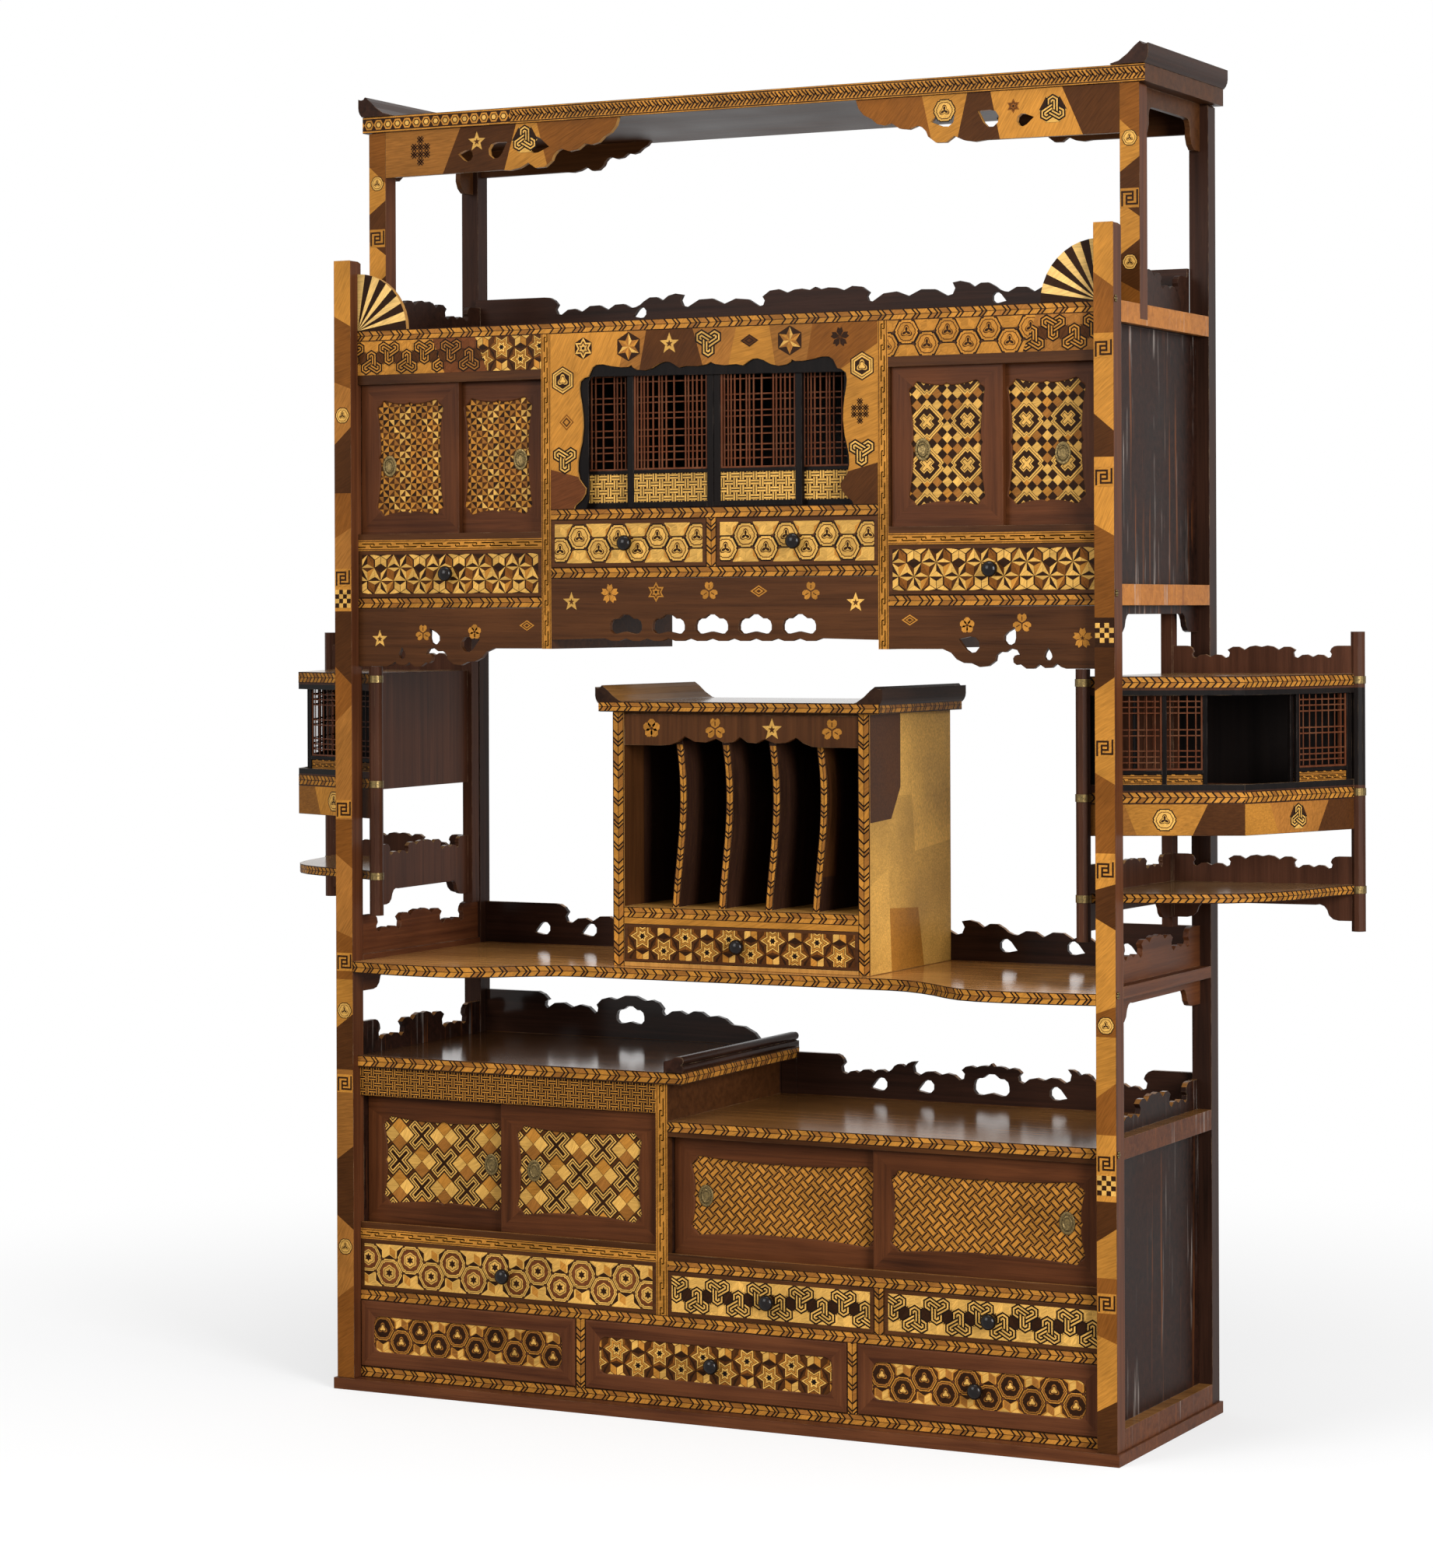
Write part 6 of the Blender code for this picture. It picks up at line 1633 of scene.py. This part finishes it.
def window_tone(u, v):
    """The wood at a point: the feet of the jambs, the jambs, then the pieces of the head."""
    if v < JAMB_FOOT - 0.25 * (WINDOW_HALF - abs(u)):
        return "red" if u < 0 else "brown", 20
    if abs(u) > JAMB and v < JAMB_TOP + 0.6 * (abs(u) - JAMB):
        return "honey", 21 if u < 0 else 22
    return head_tone(u, v)


lines = lines_at(HEAD_CUTS, *HEAD_HEIGHTS)
for side in (-1, 1):
    lines += [((side * WINDOW_HALF, JAMB_FOOT), (side * (WINDOW_HALF - 0.1), JAMB_FOOT - 0.025)),
              ((side * JAMB, JAMB_TOP), (side * (JAMB + 0.06), JAMB_TOP + 0.036)),
              ((side * JAMB, 1.2), (side * JAMB, 1.6))]
skin("window_veneers", outline_faces(WINDOW, WINDOW_FRONT), lines, window_tone, 230)


def dark_star(size):
    """A six-pointed flower of split lozenges in a dark hexagon."""
    tips, dips = ngon(size * 0.92, 6, 30), ngon(size * 0.46, 6, 0)
    chips = [(ngon(size, 6, 30), "umber", 0)]
    for i in range(6):
        chips += [([(0, 0), dips[i], tips[i]], "pale" if i % 2 else "honey", 1),
                  ([(0, 0), tips[i], dips[(i + 1) % 6]], "tan", 1)]
    return chips


def lobed_hexagon(size):
    rings = nested(ngon(size, 6, 30), (1, "umber"), (0.90, "pale"), (0.78, "umber"), (0.72, "pale"),
                   (0.60, "umber"))
    return rings + over(nested(lobed(size * 0.44, 3, 0.24), (1, "pale"), (0.78, "brown"), (0.58, "pale")), 5)


WINDOW_MOTIFS = (
    ([(ngon(15.5, 6, 30), "umber", 0)] + over(hex_star(15, "pale"), 1), -0.2000, 1.487),
    (dark_star(20.5), -0.128, 1.487), (five_star(15.5), -0.0640, 1.489),
    (knot(22, 270.0, cell=False), -0.0035, 1.490), (ripples(14, "umber"), 0.060, 1.489),
    (dark_star(20.5), 0.1215, 1.487), (cherry(14, "umber"), 0.1970, 1.489),
    (lobed_hexagon(20), -0.2330, 1.443),
    (nested(diamond(11.5), (1, "amber"), (0.8, "honey"), (0.6, "brown"), (0.35, "honey")), -0.2270, 1.384),
    (knot(21, 30.0, cell=False), -0.2300, 1.333), (lobed_hexagon(20), 0.2300, 1.449),
    (woven(21), 0.2265, 1.388), (knot(21, 30.0, cell=False), 0.2290, 1.334))
inlay("window_veneers", WINDOW_MOTIFS, WINDOW_FRONT + SKIN, 240)
print("window motifs", len(WINDOW_MOTIFS))

# %% [markdown]
# ## The small case with pigeon-holes
# Its front edges carry bandings that run down the walls and the bowed partitions. A straight band is laid
# first, then every point is shifted sideways by the bow of its partition.

# %% Kiosk
KIOSK_WALL_IN, KIOSK_WALL_OUT, KIOSK_RAIL_HALF = 0.1830, 0.2003, 0.1828
CELL_FOOT, CELL_HEAD, CELL_WIDE, PARTITION_FACE = 0.6998, 0.9300, 0.0732, 0.0730
BOW, BOW_FOOT, BOW_HEAD = 0.013, 0.6958, 0.9715
wall = edge_of("kiosk_case", FRONT, 0.70, 0.97, 0.183, 0.2005)[2]
for side in (-1, 1):
    u0, u1 = sorted((side * KIOSK_WALL_IN, side * KIOSK_WALL_OUT))
    band("kiosk_bands", (u0, u1, 0.6166, 0.9757), FRONT, wall, 250 + side, upright=True)
rail = edge_of("kiosk_case", FRONT, 0.677, 0.699, -0.17, 0.17)[2]
inlay("kiosk_bands", [([(rect(-182.8, 182.8, 676.5, 684.8), "honey", 0)], 0, 0)], rail, 1)
band("kiosk_bands", (-KIOSK_RAIL_HALF, KIOSK_RAIL_HALF, 0.6850, 0.7001), FRONT, rail, 252)
for number in (1, 2, 3, 4):
    edging = field(*arrows(11.0), (-0.0055, 0.0055, CELL_FOOT, CELL_HEAD), 252 + number, -90)
    for step in range(1, 12):
        cut(edging, (0, CELL_FOOT + step * 0.0192, 0), (0, 1, 0))
    for vert in edging.verts:
        share = min(1.0, max(0.0, (vert.co.y - BOW_FOOT) / (BOW_HEAD - BOW_FOOT)))
        vert.co.x += -KIOSK_WALL_IN + CELL_WIDE * number + BOW * math.sin(math.pi * share ** 1.3)
    glue("kiosk_bands", lay(edging, FRONT, PARTITION_FACE))
for across, u_low, u_high in ((FRONT, -0.23, 0.23), (RIGHT, -0.10, 0.19), (LEFT, -0.19, 0.10)):
    u0, u1, level = edge_of("kiosk_top", across, 0.9763, 0.9908, u_low, u_high)
    band("kiosk_bands", (u0, u1, 0.9768, 0.9903), across, level, 260)
valance = edge_of("kiosk_case", FRONT, 0.930, 0.973, -0.15, 0.15)[2]
VALANCE_MOTIFS = ((plum(15), -0.1397, 0.953), (clover(15), -0.0389, 0.953), (five_star(16), 0.0498, 0.953),
                  (clover(15), 0.1422, 0.953))
inlay("kiosk_bands", VALANCE_MOTIFS, valance, 262)
KIOSK_SIDE = [([(-90, 617), (-20, 617), (-30, 760), (-90, 740)], "pale", 0),
              ([(-20, 617), (90, 617), (70, 700), (-26, 705)], "honey", 0),
              ([(90, 617), (184, 617), (184, 790), (60, 780), (70, 700)], "pale", 0),
              ([(-90, 740), (-30, 760), (-26, 705), (70, 700), (60, 780), (50, 860), (-90, 860)], "pale", 0),
              ([(60, 780), (184, 790), (184, 905), (50, 880), (50, 860)], "pale", 0),
              ([(-90, 860), (50, 860), (50, 880), (30, 975), (-30, 975), (-90, 900)], "pale", 0),
              ([(-90, 900), (-30, 975), (-90, 975)], "pale", 0),
              ([(50, 880), (184, 905), (184, 975), (30, 975)], "pale", 0),
              # the last piece, a dark brown block at the upper front of the side, is a painted shadow
              ([(-90, 975), (-90, 826), (-20, 829), (11, 872), (11, 975)], "brown", 1)]
side_level = edge_of("kiosk_case", RIGHT, 0.62, 0.97, -0.10, 0.19)[2]
for across, sign in ((RIGHT, 1), (LEFT, -1)):
    chips = [([(sign * u, v) for u, v in points], tone, layer) for points, tone, layer in KIOSK_SIDE]
    inlay("kiosk_bands", [(chips, 0, 0)], side_level, 270, across=across)
print("kiosk front", round(wall, 4), "rail", round(rail, 4), "valance", round(valance, 4))

# %% [markdown]
# ## Wing shelves
# The two corner wings have banded shelf edges, and under the small cupboard a frieze of tan, honey and brown
# pieces with a hexagon flower on one front and a knot on the other. The lowest shelf has a bowed edge.

# %% Wing veneers
POST_GAP, BOW_END, WING_BOW = 0.009, 0.010, 0.079
WING_FRIEZE = (821, 862)
for label, side in WING_SIDES:
    sheet = "wing_%s_veneers" % label
    for number, (across, a, b) in enumerate(wing_fronts(side)):
        level = a.dot(across.cross(UP))
        u0 = a.dot(across) + (POST_GAP if number == 0 else 0.0)
        u1 = b.dot(across) - (POST_GAP if number == 1 else 0.0)
        for v0, v1 in ((1.0145, 1.0300), (0.8630, 0.8785)):
            band(sheet, (u0, u1, v0, v1), across, level, 280 + number, EVEN)
        near = (number == 0) == (side > 0)
        m0, wide = u0 / MM, (u1 - u0) / MM
        low, high = WING_FRIEZE
        marks = [(m0 + wide * p, m0 + wide * q) for p, q in ((0, 0), (0.30, 0.22), (0.66, 0.76), (1, 1))]
        tones = ("tan", "honey", "brown") if near else ("honey", "tan", "brown")
        chips = [([(p[0], low), (q[0], low), (q[1], high), (p[1], high)], tone, 0)
                 for p, q, tone in zip(marks, marks[1:], tones)]
        inlay(sheet, [(chips, 0, 0)], level, 284 + number, across=across)
        motif = flower(17) if near else knot(18)
        inlay(sheet, [(motif, (m0 + wide * 0.48) * MM, 0.8415)], level, 286, 3, across)
    first, last = WING[0], WING[2]
    way = (last - first).normalized()
    bow = []
    for i in range(13):
        swing = math.sin(math.pi * i / 12) ** 1.5 * WING_BOW
        spot = first.lerp(last, i / 12) + Vector((way.y, -way.x, 0)) * swing
        bow.append((spot.x * side, spot.y))
    if side < 0:
        bow.reverse()
    area = (BOW_END, length_of(bow) - BOW_END, 0.7318, 0.7444)
    glue(sheet, curl(field(*arrows(12.6, EVEN), area, 290), bow))
print("wing veneers 2")

# %% Sheets become pieces
for (sheet, body), bm in SHEETS.items():
    piece(sheet, body, bm, [VENEER])
faces = sum(len(o.data.polygons) for o in bpy.data.objects if o.type == "MESH")
print("veneer sheets", len(SHEETS), "faces", faces)

# %% [markdown]
# ## Reeded rail
# The right end of the higher top carries a black rail of two round reeds that stands out over the edge. Its
# section is a closed polygon, swept from front to back as a board is. Under the overhang the black gallery
# of the lower top runs on to the wall of the higher half, with a rounded end.

# %% Rail and gallery end
ROUND, END_SIZE = 0.0008, 0.93


def swept(section, y0, y1):
    """A closed (x, z) section carried from y0 to y1, a little smaller at both ends."""
    x, z = (sum(values) / len(section) for values in zip(*section))
    steps = ((y0, END_SIZE), (y0 + ROUND, 1), (y1 - ROUND, 1), (y1, END_SIZE))
    bm = tube([[(x + (a - x) * size, y, z + (b - z) * size) for a, b in section] for y, size in steps])
    bmesh.ops.recalc_face_normals(bm, faces=bm.faces)
    return bm


def reed(x, z, radius, steps=8):
    angles = [math.radians(-80 + 160 * i / steps) for i in range(steps + 1)]
    return [(x + radius * math.cos(a), z + radius * math.sin(a)) for a in angles]


section = [(-0.0716, 0.4803)] + reed(-0.0455, 0.4860, 0.0057) + reed(-0.0455, 0.4973, 0.0057) + [
    (-0.0520, 0.5026), (-0.0600, 0.4985), (-0.0716, 0.4955)]
piece("left_top_rail", "cabinet", swept(section, -0.1858, 0.1798), [finishes["scroll"]])
end_section = [(-0.0715, 0.4025), (-0.0449, 0.4025), (-0.0449, 0.4610), (-0.0462, 0.4630), (-0.0715, 0.4630)]
piece("gallery_end", "cabinet", swept(end_section, 0.1836, 0.1922), [finishes["crest"]])
print("rail points", len(section))

# %% [markdown]
# ## Brass fittings
# The doors have oval pulls of cast brass with a scalloped rim and a ring of small beads round a sunk slot.
# The posts have flower-headed nails on their outer faces. The beads and petals sit on a ring of points. An
# ambient occlusion node paints shade into the brass colour, darkest in the hollows and next to the door.

# %% Brass
def brass_material():
    made, tree, shader = blank("aged_brass_painted_shade")
    spot = add(tree, "ShaderNodeTexCoord").outputs["Object"]
    grime = ramp(tree, noise(tree, spot, (420, 420, 420), 3.0), 0.35, 0.75)
    colour = mixed(tree, grime, (0.200, 0.136, 0.050), (0.052, 0.038, 0.017))
    # painted shade: the ambient occlusion share darkens the brass colour in hollows and against the door
    hollow_shade_share = add(tree, "ShaderNodeAmbientOcclusion", {"Distance": 0.0025}, samples=6).outputs["AO"]
    colour = mixed(tree, ramp(tree, hollow_shade_share, 0.45, 0.95), (0.010, 0.008, 0.005), colour)
    relief = add(tree, "ShaderNodeBump", {"Strength": 0.3, "Distance": 0.0003, "Height": grime})
    fill(tree, shader, {"Base Color": colour, "Metallic": 0.9, "Normal": relief.outputs[0],
                        "Roughness": ramp(tree, grime, 0.0, 1.0, 0.32, 0.58)})
    return made


BRASS = brass_material()


def oval(profile, wide, high, scallops, steps=48):
    """An oval plate of (share of the size, height mm) rows from the rim inwards; three are scalloped."""
    waves = [0.05 * abs(math.cos(scallops * math.pi * i / steps)) for i in range(steps)]
    rings = []
    for number, (share, height) in enumerate(profile):
        ring = []
        for (u, v), wave in zip(ngon(share / 2, steps), waves):
            size = 1 + (wave if number < 3 else 0.0)
            ring.append((u * wide * size * MM, v * high * size * MM, height * MM))
        rings.append(ring)
    return tube(rings)


def bead(radius):
    return turned(((0, radius), (radius * 0.5, radius * 0.86), (radius * 0.9, radius * 0.4)), 8)


def ring_of(bm, count, wide, high, height):
    spots = [(u * wide * MM, v * high * MM, height * MM) for u, v in ngon(0.5, count)]
    return on_points(bm, spots, BRASS)


PULL = ((1.0, 0.0), (1.0, 0.7), (0.93, 1.3), (0.80, 0.8), (0.66, 0.7), (0.60, 1.9), (0.51, 1.9), (0.47, 0.35),
        (0.40, 0.3))
PULLS = {"upper_left_door_left": (-0.5247, 1.3285), "upper_left_door_right": (-0.3147, 1.3345),
         "upper_right_door_left": (0.3145, 1.3345), "upper_right_door_right": (0.5120, 1.3260),
         "lower_left_door_left": (-0.3665, 0.3310), "lower_left_door_right": (-0.2895, 0.3285),
         "lower_right_door_left": (-0.0230, 0.3085), "lower_right_door_right": (0.5190, 0.3085)}
VENEER_HIGH = 0.0004
for node, spot in PULLS.items():
    level = -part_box(node)[0][1] - PANEL_DEPTH + VENEER_HIGH
    plate = joined(oval(PULL, 22, 30, 16), ring_of(bead(1.0), 20, 15.8, 21.6, 0.75))
    piece(node + "_pull", node, lay(at_spot(plate, *spot), FRONT, level), [BRASS], smooth=True)
STUD = ((0, 2.4), (1.2, 2.2), (2.0, 1.2), (2.2, 0.4))
STUD_PLACE, POST_SIDE = 0.1860, 0.6000
studs = []
for side, levels in ((1, (1.525, 1.140, 0.614, 0.406)), (-1, (1.512, 1.128, 0.608, 0.472))):
    for v in levels:
        head = joined(turned(STUD, 12), ring_of(bead(1.9), 6, 7.0, 7.0, 0.0))
        studs.append(lay(at_spot(head, -STUD_PLACE * side, v), RIGHT if side > 0 else LEFT, POST_SIDE))
piece("post_studs", "cabinet", joined(*studs), [BRASS], smooth=True)
SLEEVE = ((-5, 10.2), (-5, 10.7), (5, 10.7), (5, 10.2))
sleeves = []
for side in (1, -1):
    for corner in (WING[0], WING[2]):
        for v in (1.0222, 0.8707, 0.7381):
            sleeve = turned(SLEEVE, 20)
            sleeve.transform(Matrix.Translation((corner.x * side, corner.y, v)))
            sleeves.append(sleeve)
piece("wing_post_bands", "cabinet", joined(*sleeves), [BRASS])
print("pulls", len(PULLS), "studs", len(studs), "post bands", len(sleeves))
